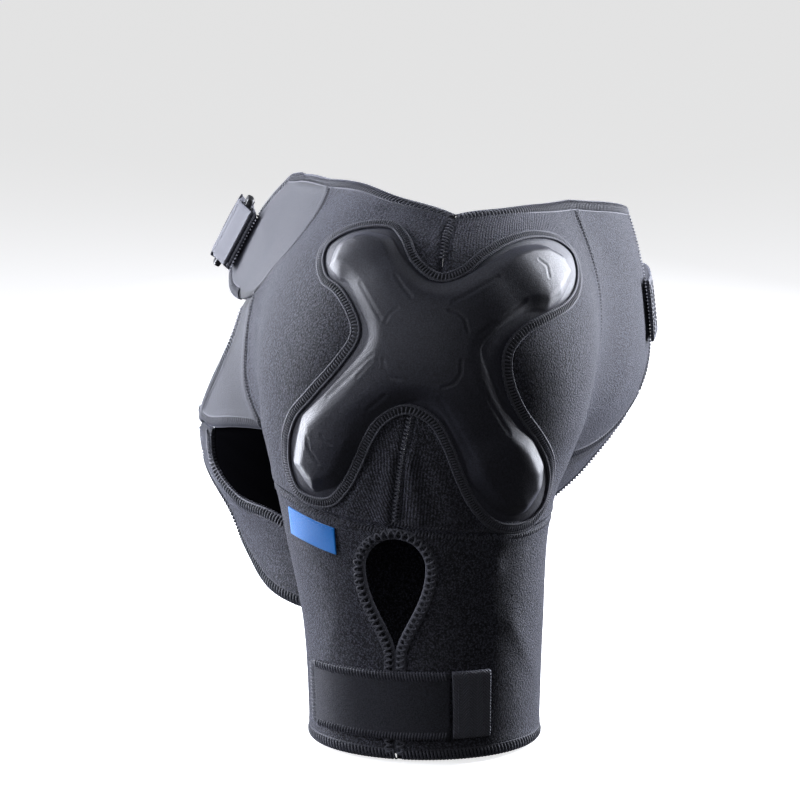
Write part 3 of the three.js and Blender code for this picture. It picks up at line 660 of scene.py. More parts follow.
def ring_plastic():
    """Moulded acetal: faint flow marks and a fine satin bloom."""
    n = Nodes("ring_plastic")
    where = n.place()
    bloom = n.noise(where, 0.6, 2.0)
    flow = n.noise(where, 12.0, 3.0)
    base = n.blend(flow, colour(0.008, 0.008, 0.009), colour(0.018, 0.018, 0.020))
    n.shade(Base_Color=base, Roughness=n.remap(bloom, 0.3, 0.7, 0.30, 0.46), Specular_IOR_Level=0.5)
    n.relief(bloom, 0.05, 0.5)
    return n.material


def label_cloth():
    """Blue satin label: fine cross weave."""
    n = Nodes("label_cloth")
    split = n.add("ShaderNodeSeparateXYZ", {0: n.uv()})
    u, v = split.outputs[0], split.outputs[1]
    rows = n.maths("SINE", n.maths("MULTIPLY", v, 2 * np.pi / 0.55))
    columns = n.maths("SINE", n.maths("MULTIPLY", u, 2 * np.pi / 0.8))
    weave = n.maths("MULTIPLY", rows, columns)
    share = n.maths("MULTIPLY_ADD", n.noise(n.place(), 2.0), 0.4,
        n.remap(weave, -1.0, 1.0, 0.2, 0.6))
    n.shade(Base_Color=n.blend(share, colour(0.0015, 0.12, 0.46), colour(0.004, 0.21, 0.66)),
            Roughness=n.remap(weave, -1.0, 1.0, 0.45, 0.62), Specular_IOR_Level=0.35,
            Sheen_Weight=0.15,
            Sheen_Roughness=0.4)
    n.relief(weave, 0.12, 0.6)
    return n.material


PILE = pile_neoprene()
SMOOTH = smooth_neoprene()
FILM = pad_film()
FOAM = pad_foam()
THREAD = stitching("spun_thread", 1.5)
# a darker copy of the thread: painted shade for the ground between the pad band's cross threads
BAND_GROUND_SHADE = stitching("thread_ground_painted_shade", 0.35)
CUT_EDGE = stitching("cut_edge", 2.6)
GUSSET_SHADOW = gusset_knit()
WEB = webbing_cloth()
HOOK = hook_tape()
PLASTIC = ring_plastic()
LABEL = label_cloth()


# ---- the pad's plane -------------------------------------------------------------------------
def on_shoulder(ab, height):
    """Lays the flat pad plane (a to the back, b up) over the shoulder: straight rays from a
    centre that sinks with b, turned away from +X by the distance in the plane."""
    a, b = ab[..., 0], ab[..., 1]
    low = np.minimum(b, 0)
    rise = b - PAD_LOW_SHARE * low
    across = np.hypot(a, rise) + 1e-9
    angle = across / PAD_RADIUS
    direction = np.stack([np.cos(angle), np.sin(angle) * a / across, np.sin(angle) * rise / across],
        -1)
    origin = np.stack([np.full_like(a, -10), np.full_like(a, 2), 2 + PAD_LOW_SHARE * low], -1)
    return reach(origin, direction, height)


def polygon_distance(p, corners):
    """Distance from plane points to a closed polygon, positive inside."""
    inside = np.zeros(p.shape[:-1], bool)
    nearest = np.full(p.shape[:-1], 1e9)
    for a, b in zip(corners, np.roll(corners, -1, 0)):
        edge, out = b - a, p - a
        t = np.clip((out @ edge) / (edge @ edge), 0, 1)
        nearest = np.minimum(nearest, np.linalg.norm(out - t[..., None] * edge, axis=-1))
        crosses = (a[1] > p[..., 1]) != (b[1] > p[..., 1])
        height = edge[1] if abs(edge[1]) > 1e-9 else 1e-9
        inside ^= crosses & (p[..., 0] < a[0] + (p[..., 1] - a[1]) / height * edge[0])
    return np.where(inside, nearest, -nearest)


def path_distance(p, corners):
    """Distance from points to an open path of straight runs."""
    nearest = np.full(p.shape[:-1], 1e9)
    for a, b in zip(corners[:-1], corners[1:]):
        edge, out = b - a, p - a
        t = np.clip((out @ edge) / (edge @ edge), 0, 1)
        nearest = np.minimum(nearest, np.linalg.norm(out - t[..., None] * edge, axis=-1))
    return nearest


def rounded(corners):
    """A closed outline from (x, y, radius) corners: each corner is cut by an arc-like quadratic
    curve that starts and ends one radius away from it, or half way to its neighbour."""
    c = np.array(corners, float)
    p, radius = c[:, :2], c[:, 2:]
    before, after = np.roll(p, 1, 0) - p, np.roll(p, -1, 0) - p
    back = np.minimum(radius, np.linalg.norm(before, axis=-1, keepdims=True) * 0.49)
    ahead = np.minimum(radius, np.linalg.norm(after, axis=-1, keepdims=True) * 0.49)
    start, end = p + unit(before) * back, p + unit(after) * ahead
    t = np.linspace(0, 1, 6)[None, :, None]
    return ((1 - t) ** 2 * start[:, None] + 2 * t * (1 - t) * p[:, None]
        + t**2 * end[:, None]).reshape(-1, 2)


PAD_OUTLINE = Line(spline([
    (47, 2), (56, 12), (71, 18), (90, 25), (104, 35), (115, 51), (116, 67), (100, 79), (74, 81),
    (50, 74),
    (33, 64), (19, 53), (8, 50), (-4, 59), (-12, 75), (-21, 85), (-40, 87), (-59, 82), (-72, 71),
    (-73, 57),
    (-65, 42), (-55, 36), (-46, 25), (-42, 14), (-49, 0), (-63, -18), (-75, -33), (-80, -48),
    (-81, -66),
    (-75, -80), (-62, -85), (-50, -83), (-41, -73), (-34, -59), (-28, -45), (-21, -34), (-10, -28),
    (1, -33),
    (9, -47), (16, -66), (24, -83), (36, -97), (50, -103), (67, -103), (80, -94), (82, -77),
    (76, -60),
    (65, -43), (54, -28), (47, -12)], closed=True, steps=12))

# The foot of the raised core: straight runs round the lobe tips, long soft curves in the notches.
CORE_OUTLINE = rounded([
    (-61, 52, 2), (-53, 44, 3), (-46, 43, 4), (-30, 15, 14), (-31, 7, 8), (-52, -18, 5),
    (-66, -33, 2),
    (-73, -61, 2), (-61, -76, 2), (-46, -70, 6), (-35, -48, 8), (-29, -34, 10), (-8, -19, 12),
    (1, -19, 10),
    (9, -28, 8), (21, -54, 7), (24, -67, 5), (41, -89, 8), (59, -93, 6), (70, -78, 3), (69, -64, 3),
    (59, -46, 4), (49, -37, 4), (33, -9, 9), (28, 4, 9), (31, 11, 8), (57, 26, 4), (71, 25, 2),
    (82, 31, 2), (97, 46, 2), (93, 61, 3), (77, 69, 5), (58, 67, 8), (28, 50, 12), (8, 43, 14),
    (-2, 46, 8), (-14, 59, 5), (-22, 72, 4), (-43, 78, 8), (-58, 69, 6)])

# Moulded lines on the core: (points, depth, width). Straight ones run down the arms, bent ones are
# crescents round the middle and in the lobes.
CORE_GROOVES = [
    ([(-37, 41), (-30, 31), (-24, 22)], 0.50, 0.9),
    ([(-17, 46), (-13, 40), (-8, 34)], 0.50, 0.9),
    ([(14, 31), (26, 37), (40, 45)], 0.50, 0.9),
    ([(27, 13), (40, 22), (55, 31)], 0.45, 0.9),
    ([(-50, -20), (-38, -8), (-27, 3)], 0.50, 0.9),
    ([(-34, -8), (-27, 0)], 0.45, 0.8),
    ([(-29, -25), (-20, -17)], 0.50, 0.9),
    ([(7, -18), (16, -34), (25, -52)], 0.50, 0.9),
    ([(27, -10), (34, -24), (43, -39)], 0.50, 0.9),
    ([(12, 27), (17, 25.5), (20.5, 22), (22, 15)], 0.50, 0.7),
    ([(18, 1), (17.5, -6), (14, -10.5), (8, -12.5)], 0.50, 0.7),
    ([(-21, 1), (-20, -4), (-17, -7.5), (-12, -8.5)], 0.50, 0.7),
    ([(-21, 20), (-19.5, 24), (-15, 28)], 0.40, 0.7),
    ([(-60, -43), (-59.5, -49), (-54.5, -57)], 0.55, 0.7),
    ([(-52, -40), (-50.5, -43), (-47.5, -45)], 0.45, 0.7),
    ([(33, -54), (37, -55.5), (41, -51)], 0.45, 0.7),
    ([(36, -67), (40, -69.5), (45, -68)], 0.50, 0.7),
    ([(66, 54), (70.5, 50), (70.5, 43)], 0.45, 0.7),
    ([(-43, 68), (-37, 70), (-30, 67)], 0.35, 0.7)]
FOOT = 0.8
FACET_SLOPE = 0.24
TIP_SLOPE = 0.36
FACET_WIDTH = 7.0


def film_height(ab, from_core, from_edge):
    """Height of the skin over the fabric: a margin that climbs from the band, a small crisp foot, a
    flat facet up the core's side, a nearly flat top, and the moulded lines."""
    middle = np.hypot(ab[..., 0] - 2, ab[..., 1] - 8)
    margin = 0.75 + 0.09 * np.clip(from_edge - PAD_BAND_WIDTH, 0, 12)
    margin = margin + 3.0 * bump(middle, 52) * smoothstep(from_edge, 5, 17)
    steep = FACET_SLOPE + TIP_SLOPE * smoothstep(middle, 52, 74)
    facet = steep * smooth_min(np.maximum(from_core, 0), np.full_like(from_core, FACET_WIDTH), 1.4)
    crown = 0.8 * (1 - np.exp(-np.maximum(from_core - FACET_WIDTH, 0) / 9))
    hollow = 0.6 * bump(middle, 24) * smoothstep(from_core, 4, 12)
    height = margin + FOOT * smoothstep(from_core, -0.5, 0.9) + facet + crown - hollow
    for points, depth, width in CORE_GROOVES:
        away = path_distance(ab, np.array(points, float))
        height = height - 0.6 * depth * bump(away, width) + 0.2 * depth * bump(away - 2.1 * width,
            width)
    return height - 0.35 * bump(from_edge - PAD_BAND_WIDTH, 1.6)


# ---- fabric panels ---------------------------------------------------------------------------
# Soft folds in the worn cloth: (start, end, height, width) on the form. A minus height is a valley.
FOLDS = [
    ((62, -22, -86), (66, -16, -52), 1.3, 4.0), ((61, -2, -86), (66, -8, -52), 1.3, 4.0),
    ((62, -12, -90), (66, -12, -52), -1.0, 3.4), ((52, -42, -92), (62, -30, -62), 0.8, 4.0),
    ((54, 22, -92), (62, 8, -62), 0.8, 4.5), ((-70, -106, -30), (-48, -96, -58), 0.8, 6.0),
    ((-60, -103, 0), (-40, -92, -46), 0.7, 8.0), ((-20, -88, -60), (18, -76, -76), 0.7, 5.0),
    ((26, 60, -70), (46, 44, -96), 0.8, 6.0), ((-10, 88, -60), (30, 68, -84), 0.8, 7.0),
    ((30, 10, 66), (12, -20, 76), -0.6, 6.0), ((-30, 76, 62), (10, 60, 58), 0.6, 8.0),
    ((55, -30, -120), (40, -50, -112), 0.6, 4.0), ((57, 12, -128), (46, 40, -116), 0.8, 5.0),
    ((56, 10, -150), (50, 34, -150), -0.6, 5.0), ((40, 50, -150), (22, 60, -180), 0.7, 6.0),
    ((40, -46, -150), (28, -56, -190), 0.6, 6.0), ((-120, 108, -40), (-70, 104, -80), 0.8, 9.0),
    ((-90, 102, 40), (-140, 116, 10), -0.7, 9.0), ((-100, -95, 40), (-130, -100, 50), 0.5, 8.0)]


def fold_height(p):
    """The sum of the soft folds and a slow, shallow unevenness made of crossed waves."""
    height = 0.22 * np.sin(p[..., 0] / 13 + 1) * np.sin(p[..., 1] / 17 + 2) * np.sin(p[..., 2] / 15)
    for start, end, rise, width in FOLDS:
        away = path_distance(p, np.array([start, end], float))
        height = height + rise * bump(away, width)
    return height


def stretched(p):
    """Where the ribs of the knit show: above the pad's back lobe, and round its lower notch."""
    upper = bump(path_distance(p, np.array([(20, 30, 72), (-20, 75, 66)], float)), 26)
    notch = bump(path_distance(p, np.array([(64, -14, -62), (60, -14, -96)], float)), 24)
    return np.clip(upper + notch, 0, 1)


def coons(left, right, top, bottom, spacing):
    """A four-sided patch: each point adds the two lines' blends and takes away the corners'
    blend."""
    nu = int((top.length + bottom.length) / 2 / spacing)
    nv = int((left.length + right.length) / 2 / spacing)
    gap_u, gap_v = 0.15 / (top.length + bottom.length), 0.15 / (left.length + right.length)
    u = np.linspace(gap_u, 1 - gap_u, nu + 1)[None, :, None]
    v = np.linspace(gap_v, 1 - gap_v, nv + 1)[:, None, None]
    t, b = top.at(u[0, :, 0])[None], bottom.at(u[0, :, 0])[None]
    l, r = left.at(v[:, 0, 0])[:, None], right.at(v[:, 0, 0])[:, None]
    c = [top.at(0), top.at(1), bottom.at(0), bottom.at(1)]
    corners = (1 - u) * (1 - v) * c[0] + u * (1 - v) * c[1] + (1 - u) * v * c[2] + u * v * c[3]
    return (1 - v) * t + v * b + (1 - u) * l + u * r - corners


def from_sides(grid):
    """How far each point lies from the left, right, top and bottom sides, along the cloth."""
    across, down = lengths(grid, 1), lengths(grid, 0)
    return across, across[:, -1:] - across, down, down[-1:] - down


def edge_relief(grid, edges):
    """Height near a panel's sides: a seam pulls the cloth into a groove with a soft roll beside
    it, and a bound edge is pressed thin. edges names left, right, top and bottom as seam or
    bound."""
    height = np.zeros(grid.shape[:2])
    for d, kind in zip(from_sides(grid), edges):
        if kind == "seam":
            height = height - 1.5 * bump(d, 1.5) + 0.45 * bump(d - 4.2, 2.6)
        else:
            height = height - 0.9 * bump(d, 2.6) + 0.35 * bump(d - 7.5, 2.4)
    return height


def near_binding(grid, edges):
    """1 under the stitches of the bound sides, fading to 0 past them: the mask for the painted
    shade under the overlock.
    """
    shade = np.zeros(grid.shape[:2])
    for d, kind in zip(from_sides(grid), edges):
        if kind == "bound":
            shade = np.maximum(shade, 1 - smoothstep(d, EDGE_WIDTH - 0.6, EDGE_WIDTH + 1.0))
    return shade


def fabric_panel(name, lines, edges, finish, form=wearer, spacing=1.5):
    """One sewn panel: the patch is settled on the form, lifted by folds and edges, and closed
    below."""
    flat = coons(*lines, spacing)
    skin = settle(flat, FABRIC_TOP, form)
    normal = outward(form, skin)
    rise = fold_height(skin) + edge_relief(skin, edges)
    outer = skin + normal * rise[..., None]
    inner = skin - normal * (FABRIC - 0.2 - 0.3 * np.minimum(rise, 0))[..., None]
    stretch = np.tile(stretched(skin).ravel(), 2)
    # mask for the painted shade under the overlocked edges, read by the materials as the bound
    # field
    shade = np.tile(near_binding(skin, edges).ravel(), 2)
    piece = make(name, closed_sheet(outer, inner), finish,
        {"stretch": stretch, "bound": shade})
    return piece


def panels():
    """The six sewn panels of the garment."""
    seam, bound = "seam", "bound"
    made = [
        (fabric_panel("front_shoulder_cloth",
            (front_side, shoulder_seam, neckline_shoulder, sleeve_seam_front),
                      (seam, seam, bound, seam), PILE), "front_shoulder_panel"),
        (fabric_panel("back_shoulder_cloth",
            (shoulder_seam, back_seam, neckline_back, sleeve_seam_back),
                      (seam, seam, bound, seam), PILE), "back_shoulder_panel"),
        (fabric_panel("chest_cloth", (tab_edge, chest_seam, neckline_front, tab_hem),
                      (bound, seam, bound, bound), SMOOTH), "chest_panel"),
        (fabric_panel("pec_strip_cloth", (pec_edge, armscye_seam, pec_top, pec_hem),
                      (bound, seam, bound, bound), SMOOTH), "pec_strip"),
        (fabric_panel("back_wing_cloth", (back_seam, spine_edge, neckline_spine, wing_hem),
                      (seam, bound, bound, bound), PILE), "back_wing"),
        (fabric_panel("torso_band_cloth", (band_front, band_back, band_top, band_hem),
                      (bound, bound, bound, bound), PILE, trunk), "torso_band")]
    for piece, node in made:
        stands_for(piece, "garment", node)


def gusset():
    """The thin knit that closes the armpit: its sides dip under the pec strip and the band. Its
    near-black finish is painted shadow.
    """
    flat = coons(gusset_front, gusset_back, gusset_top, gusset_hem, 1.5)
    skin = settle(flat, 0.0, trunk)
    edge = np.minimum.reduce(from_sides(skin))
    normal = outward(trunk, skin)
    gathers = 0.35 * np.sin(skin[..., 2] / 3.1 + skin[..., 0] / 9) * smoothstep(edge, 3, 9)
    outer = skin + normal * (mix(0.25, 1.3, smoothstep(edge, 2, 6)) + gathers)[..., None]
    # the finish is painted shadow: a near-black, unreflecting knit where the armpit lies in deep
    # shade
    piece = make("gusset_cloth", closed_sheet(outer, skin - normal * 0.4), GUSSET_SHADOW)
    stands_for(piece, "garment", "armpit_gusset")


# ---- sleeve ----------------------------------------------------------------------------------
def arm_axis(z):
    """The middle of the upper arm at each height."""
    return np.stack([np.full_like(z, 2.0), arm_middle(z), z], -1)


def seam_levels():
    """The sleeve seam as (angle round the arm, height) pairs, falling to the underarm at both
    ends."""
    shares = np.arange(13) / 12
    p = np.vstack([sleeve_seam_front.at(shares), sleeve_seam_back.at(shares[1:])])
    turn = np.degrees(np.arctan2(p[:, 1] - arm_middle(p[:, 2]), p[:, 0] - 2))
    pairs = list(zip(turn, p[:, 2]))
    low = UNDERARM_TOP
    return [(-215, low), (-160, low), *pairs, (pairs[-1][0] + 45, low), (200, low)]


sleeve_top = levels(seam_levels())


def sleeve_point(degrees, z, height):
    """The sleeve's surface: the whole form where it faces out, the arm's own form where it faces
    the torso, with a flare between them near the top."""
    turn = np.radians(degrees)
    turn, z = np.broadcast_arrays(turn, z)
    z = z.astype(float)
    direction = np.stack([np.cos(turn), np.sin(turn), np.zeros_like(turn)], -1)
    axis = arm_axis(z)
    own = np.linalg.norm(reach(axis, direction, height, arm) - axis, axis=-1)
    whole = np.linalg.norm(reach(axis, direction, height) - axis, axis=-1)
    flare = 40 * np.clip(1.3 + 1.6 * np.cos(turn - 0.2), 0, 1) * np.clip((z - UNDERARM_Z) / 30, 0,
        1)
    spread = np.maximum(np.minimum(own + flare, whole), own)
    return axis + direction * spread[..., None]


def keyhole_outline(grow, hem):
    """The drop that narrows into the slit, in the plane across the arm (y, z), from the slit's back
    edge at the hem, round the top, to the slit's front edge at the hem."""
    half, slit = KEYHOLE_WIDTH / 2 + grow, SLIT_WIDTH / 2 + grow
    middle = KEYHOLE_TOP_Z - KEYHOLE_WIDTH / 2
    turn = np.linspace(0, np.pi, 41)
    arc = np.stack([KEYHOLE_Y + half * np.cos(turn), middle + half * np.sin(turn)], -1)
    t = np.linspace(0, 1, 33)[1:, None]
    ends = np.array([(-half, middle), (-half, middle - 22), (-slit, KEYHOLE_NECK_Z + 14),
        (-slit, KEYHOLE_NECK_Z)])
    side = ((1 - t) ** 3 * ends[0] + 3 * t * (1 - t) ** 2 * ends[1] + 3 * t**2 * (1 - t) * ends[2]
        + t**3 * ends[3])
    down = np.array([(-slit, z) for z in np.linspace(KEYHOLE_NECK_Z, hem, 12)[1:]])
    front = np.vstack([side, down]) + np.array([KEYHOLE_Y, 0])
    back = front[::-1] * np.array([-1, 1]) + np.array([2 * KEYHOLE_Y, 0])
    return np.vstack([back, arc, front])


def on_arm_front(yz, height):
    """Points on the outer side of the form, straight out along +X from the plane across the arm."""
    origin = np.stack([np.zeros_like(yz[..., 0]), yz[..., 0], yz[..., 1]], -1)
    return reach(origin, np.broadcast_to(np.array([1.0, 0, 0]), origin.shape), height)


def sleeve():
    """A tube of cloth round the arm, with the keyhole and its slit cut out: points next to the
    outline move onto it, and the quads inside it are left out."""
    slit_turn = float(np.degrees(np.arcsin(KEYHOLE_Y / arm_half_depth(SLEEVE_HEM_Z))))
    degrees = np.linspace(slit_turn, slit_turn + 360, 271)
    wrapped = (degrees + 180) % 360 - 180
    top = sleeve_top(wrapped) + 0.9
    down = np.linspace(0, 1, 91)[:, None]
    z = mix(top[None], SLEEVE_HEM_Z, down)
    skin = sleeve_point(np.broadcast_to(degrees, z.shape), z, FABRIC_TOP)
    cell = 1.5
    outline = keyhole_outline(0, SLEEVE_HEM_Z - 20)
    plane = skin[..., 1:]
    from_cut = np.where(skin[..., 0] > 20, -polygon_distance(plane, outline), 99.0)
    step = np.stack([-(polygon_distance(plane + d, outline) - polygon_distance(plane - d, outline))
                     for d in np.eye(2) * 0.05], -1) / 0.1
    near = np.abs(from_cut) < 0.62 * cell
    moved = plane - unit(step) * from_cut[..., None]
    snapped = on_arm_front(moved, FABRIC_TOP)
    skin = np.where(near[..., None], snapped, skin)
    from_cut = np.where(near, 0, from_cut)
    normal = outward(wearer, skin)
    from_top = lengths(skin, 0)
    from_hem = from_top[-1:] - from_top
    rise = (fold_height(skin) - 2.2 * bump(from_top, 2.0) + 0.45 * bump(from_top - 5.2, 2.6)
            - 0.9 * bump(from_hem, 2.6) + 0.35 * bump(from_hem - 7.5, 2.4)
            - 0.7 * bump(from_cut, 2.0))
    skin = skin + normal * rise[..., None]
    quads = grid_quads(*z.shape)
    quads = quads[from_cut.ravel()[quads].max(1) > 0.01]
    uv = np.stack([lengths(skin, 1), from_top], -1)
    # mask for the painted shade under the hem and keyhole stitches, read by the material as the
    # bound field
    shade = 1 - smoothstep(np.minimum(from_hem, from_cut + 1.2), EDGE_WIDTH - 0.6, EDGE_WIDTH + 1.0)
    shape, used = kept_points(skin, quads[:, ::-1], uv)
    fields = {"stretch": stretched(skin).ravel()[used], "bound": shade.ravel()[used]}
    piece = make("sleeve_cloth", shape, PILE, fields)
    merge_doubles(piece, 0.02)
    thicken(piece, FABRIC - 0.2)
    stands_for(piece, "garment", "sleeve")


def merge_doubles(piece, within_mm):
    """Merges points closer than the distance and turns every face away from the upright axis."""
    work = bmesh.new()
    work.from_mesh(piece.data)
    bmesh.ops.remove_doubles(work, verts=work.verts, dist=within_mm * MM)
    bmesh.ops.recalc_face_normals(work, faces=work.faces)
    work.to_mesh(piece.data)
    work.free()
    faces = piece.data.polygons
    centres, normals = np.zeros((2, len(faces) * 3), np.float32)
    faces.foreach_get("center", centres)
    faces.foreach_get("normal", normals)
    if (centres * normals).reshape(-1, 3)[:, :2].sum() < 0:
        piece.data.flip_normals()


def thicken(piece, thickness):
    """Gives a surface its thickness in millimetres, inwards from its outer face."""
    shell = piece.modifiers.new("thickness", "SOLIDIFY")
    shell.thickness = thickness * MM
    shell.offset = -1
    shell.use_even_offset = False


# ---- stitches --------------------------------------------------------------------------------
def beside(path, share, across, height, form=wearer):
    """Points beside a line on the fabric: across is measured square to the line over the form, and
    height up from the fabric. share, across and height may be arrays of one shape."""
    share, across, height = np.broadcast_arrays(share, across, height)
    p = path.at(share)
    run = unit(path.at(share + 0.004) - path.at(share - 0.004))
    side = unit(np.cross(outward(form, p), run))
    p = settle(p + side * across[..., None], FABRIC_TOP, form, 5)
    normal = outward(form, p)
    return p + normal * height[..., None], normal


# An overlock thread, from the needle line to under the cut edge: share of its width, and height.
OVERLOCK_SHARE = np.array([0.0, 0.18, 0.42, 0.68, 0.88, 1.0, 1.06])
OVERLOCK_HEIGHT = np.array([-0.45, 0.45, 0.75, 0.65, 0.05, -1.0, -2.4])
OVERLOCK_SLANT = 0.75
# A lock stitch: share of its pitch, and height.
LOCK_SHARE = np.array([-0.36, -0.2, 0, 0.2, 0.36])
LOCK_HEIGHT = np.array([-0.35, 0.05, 0.2, 0.05, -0.35])
LOCK_PITCH = 2.6
LOCK_TURN = 0.9


def knotted(count, size, dip, period=4):
    """Radii of a knotted thread: full at each knot, and less by the dip's share between knots."""
    return size * ((1 - dip) + dip * np.abs(np.cos(np.pi * np.arange(count) / period)))


def overlock(path, inside, width=EDGE_WIDTH, pitch=2.2, thread=0.60, form=wearer, start=0.0,
        end=0.0):
    """An overlocked edge: slanted threads run from the needle line over the cut edge and under
    it, with a chain of knots along the needle line and another along the edge. inside is +1 or
    -1, the side of the line that the cloth lies on."""
    station = path.stations(pitch, start, end)[:-1]
    across = inside * width * (1 - OVERLOCK_SHARE)
    slant = OVERLOCK_SLANT * pitch * OVERLOCK_SHARE / path.length
    bars, ups = beside(path, station[:, None] + slant, across, OVERLOCK_HEIGHT, form)
    shapes = [tubes(bars, ups, thread, 6, 0.85)]
    for offset, up, size in ((width, 0.0, 0.58), (-0.1, -0.9, 0.62)):
        run = np.linspace(station[0], station[-1], 4 * len(station))[None]
        chain, ups = beside(path, run, inside * offset, up, form)
        shapes.append(tubes(chain, ups, knotted(run.shape[1], size, 0.30)[None], 6, 0.9))
    return together(*shapes)


def ladder(path, width, pitch=2.2, thread=0.5, form=wearer, start=0.0, end=0.0):
    """A chunky flat seam: two sets of slanted threads that cross over the join."""
    shapes = []
    for way in (1, -1):
        station = path.stations(pitch, start, end)[:-1] + (0.25 * pitch * way) / path.length
        q = np.array([0, 0.12, 0.32, 0.5, 0.68, 0.88, 1.0])
        across = way * width * (q - 0.5)
        height = np.array([-1.2, -0.2, 0.35, 0.5, 0.35, -0.2, -1.2]) + 0.12 * way
        bars, ups = beside(path, station[:, None] + pitch * (q - 0.5) / path.length, across, height,
            form)
        shapes.append(tubes(bars, ups, thread, 6, 0.85))
    return together(*shapes)


def flatlock(path, rows, pitch=1.75, thread=0.40, form=wearer, start=0.0, end=0.0):
    """Rows of short stitches side by side along a seam. rows gives each row's offset and width."""
    shapes = []
    for offset, width in rows:
        station = path.stations(pitch, start, end)[:-1]
        q = np.array([0, 0.25, 0.5, 0.75, 1.0])
        height = np.array([-0.75, 0.1, 0.3, 0.1, -0.75])
        bars, ups = beside(
            path, station[:, None] + 0.45 * pitch * q / path.length, offset + width * (q - 0.5),
            height, form)
        shapes.append(tubes(bars, ups, thread, 5, 0.9))
    return together(*shapes)


def sewn(name, shape, *nodes):
    """Garment stitching that stands for the frame's plain tapes."""
    return stands_for(make(name, shape, THREAD), "garment", *nodes)


def edges_and_seams():
    """Every stitched edge and seam of the garment."""
    sewn("neckline_overlock", overlock(neckline, -1), "neckline_binding")
    sewn("tab_overlock", overlock(tab_edge, 1, start=2), "tab_binding")
    sewn("tab_hem_overlock", overlock(portion(tab_hem, 0, 0.62), 1, start=5), "tab_hem_binding")
    sewn("pec_edge_overlock", overlock(pec_edge, 1, start=6), "pec_edge_binding")
    sewn("armhole_overlock", overlock(portion(pec_hem, 0.03, 1), 1, end=3), "armhole_binding")
    sewn("spine_overlock", overlock(spine_edge, -1, start=3), "spine_binding")
    sewn("wing_hem_overlock", overlock(wing_hem, 1, start=6, end=3), "wing_hem_binding")
    sewn("band_top_overlock", overlock(band_top, -1, form=trunk, start=4, end=7),
        "band_top_binding")
    sewn("band_hem_overlock", overlock(band_hem, 1, form=trunk, start=4, end=7), "band_hem_binding")
    sewn("armscye_flatlock", flatlock(front_side, ((1.5, 1.6), (-1.5, 1.6)), start=7, end=3),
         "armscye_seam_tape")
    sewn("back_flatlock", flatlock(back_seam, ((1.9, 2.6), (-1.9, 2.6)), start=7, end=3),
        "back_seam_tape")
    sewn("shoulder_ladder_upper", ladder(portion(shoulder_seam, 0, 0.19), 5.0, start=6),
        "shoulder_seam_upper")
    sewn("shoulder_ladder_lower", ladder(portion(shoulder_seam, 0.62, 1), 4.6, end=2),
        "shoulder_seam_lower")
    whole = joined(sleeve_seam_front, sleeve_seam_back)
    sewn("sleeve_flatlock", flatlock(whole, ((2.6, 2.6), (-2.6, 2.6)), 1.8, 0.46, start=2, end=3),
         "sleeve_seam_front_tape", "sleeve_seam_back_tape")


def sleeve_hem():
    """The overlocked hem of the sleeve, from one side of the slit round to the other."""
    slit_turn = float(np.degrees(np.arcsin(KEYHOLE_Y / arm_half_depth(SLEEVE_HEM_Z))))
    clear = float(np.degrees((SLIT_WIDTH / 2 + 1.5) / arm_half_width(SLEEVE_HEM_Z)))
    count = 170
    turn = np.linspace(slit_turn + clear, slit_turn - clear + 360, count)
    q = np.array([0.0, 0.18, 0.42, 0.68, 0.88, 1.0, 1.05])
    z = np.maximum(SLEEVE_HEM_Z + EDGE_WIDTH * (1 - q), SLEEVE_HEM_Z - 0.4)
    pitch = turn[1] - turn[0]
    p = sleeve_point(turn[:, None] + OVERLOCK_SLANT * pitch * q, z + 0 * turn[:, None], FABRIC_TOP)
    normal = outward(arm, p)
    shapes = [tubes(p + normal * OVERLOCK_HEIGHT[:, None], normal, 0.60, 6, 0.85)]
    for rise, up, size in ((EDGE_WIDTH, 0.0, 0.58), (0.3, -0.9, 0.62)):
        fine = np.linspace(turn[0], turn[-1], 4 * count)
        chain = sleeve_point(fine, np.full_like(fine, SLEEVE_HEM_Z + rise), FABRIC_TOP)
        normal = outward(arm, chain)
        beads = knotted(len(fine), size, 0.30)
        shapes.append(tubes((chain + normal * up)[None], normal[None], beads[None], 6, 0.9))
    sewn("sleeve_hem_overlock", together(*shapes), "sleeve_hem_binding")


def plane_track(path, share, across):
    """Points beside a line in a plane: across is square to the line, to its left."""
    share, across = np.broadcast_arrays(share, across)
    p = path.at(share)
    run = unit(path.at(share + 0.003) - path.at(share - 0.003))
    left = np.stack([-run[..., 1], run[..., 0]], -1)
    return p + left * across[..., None]


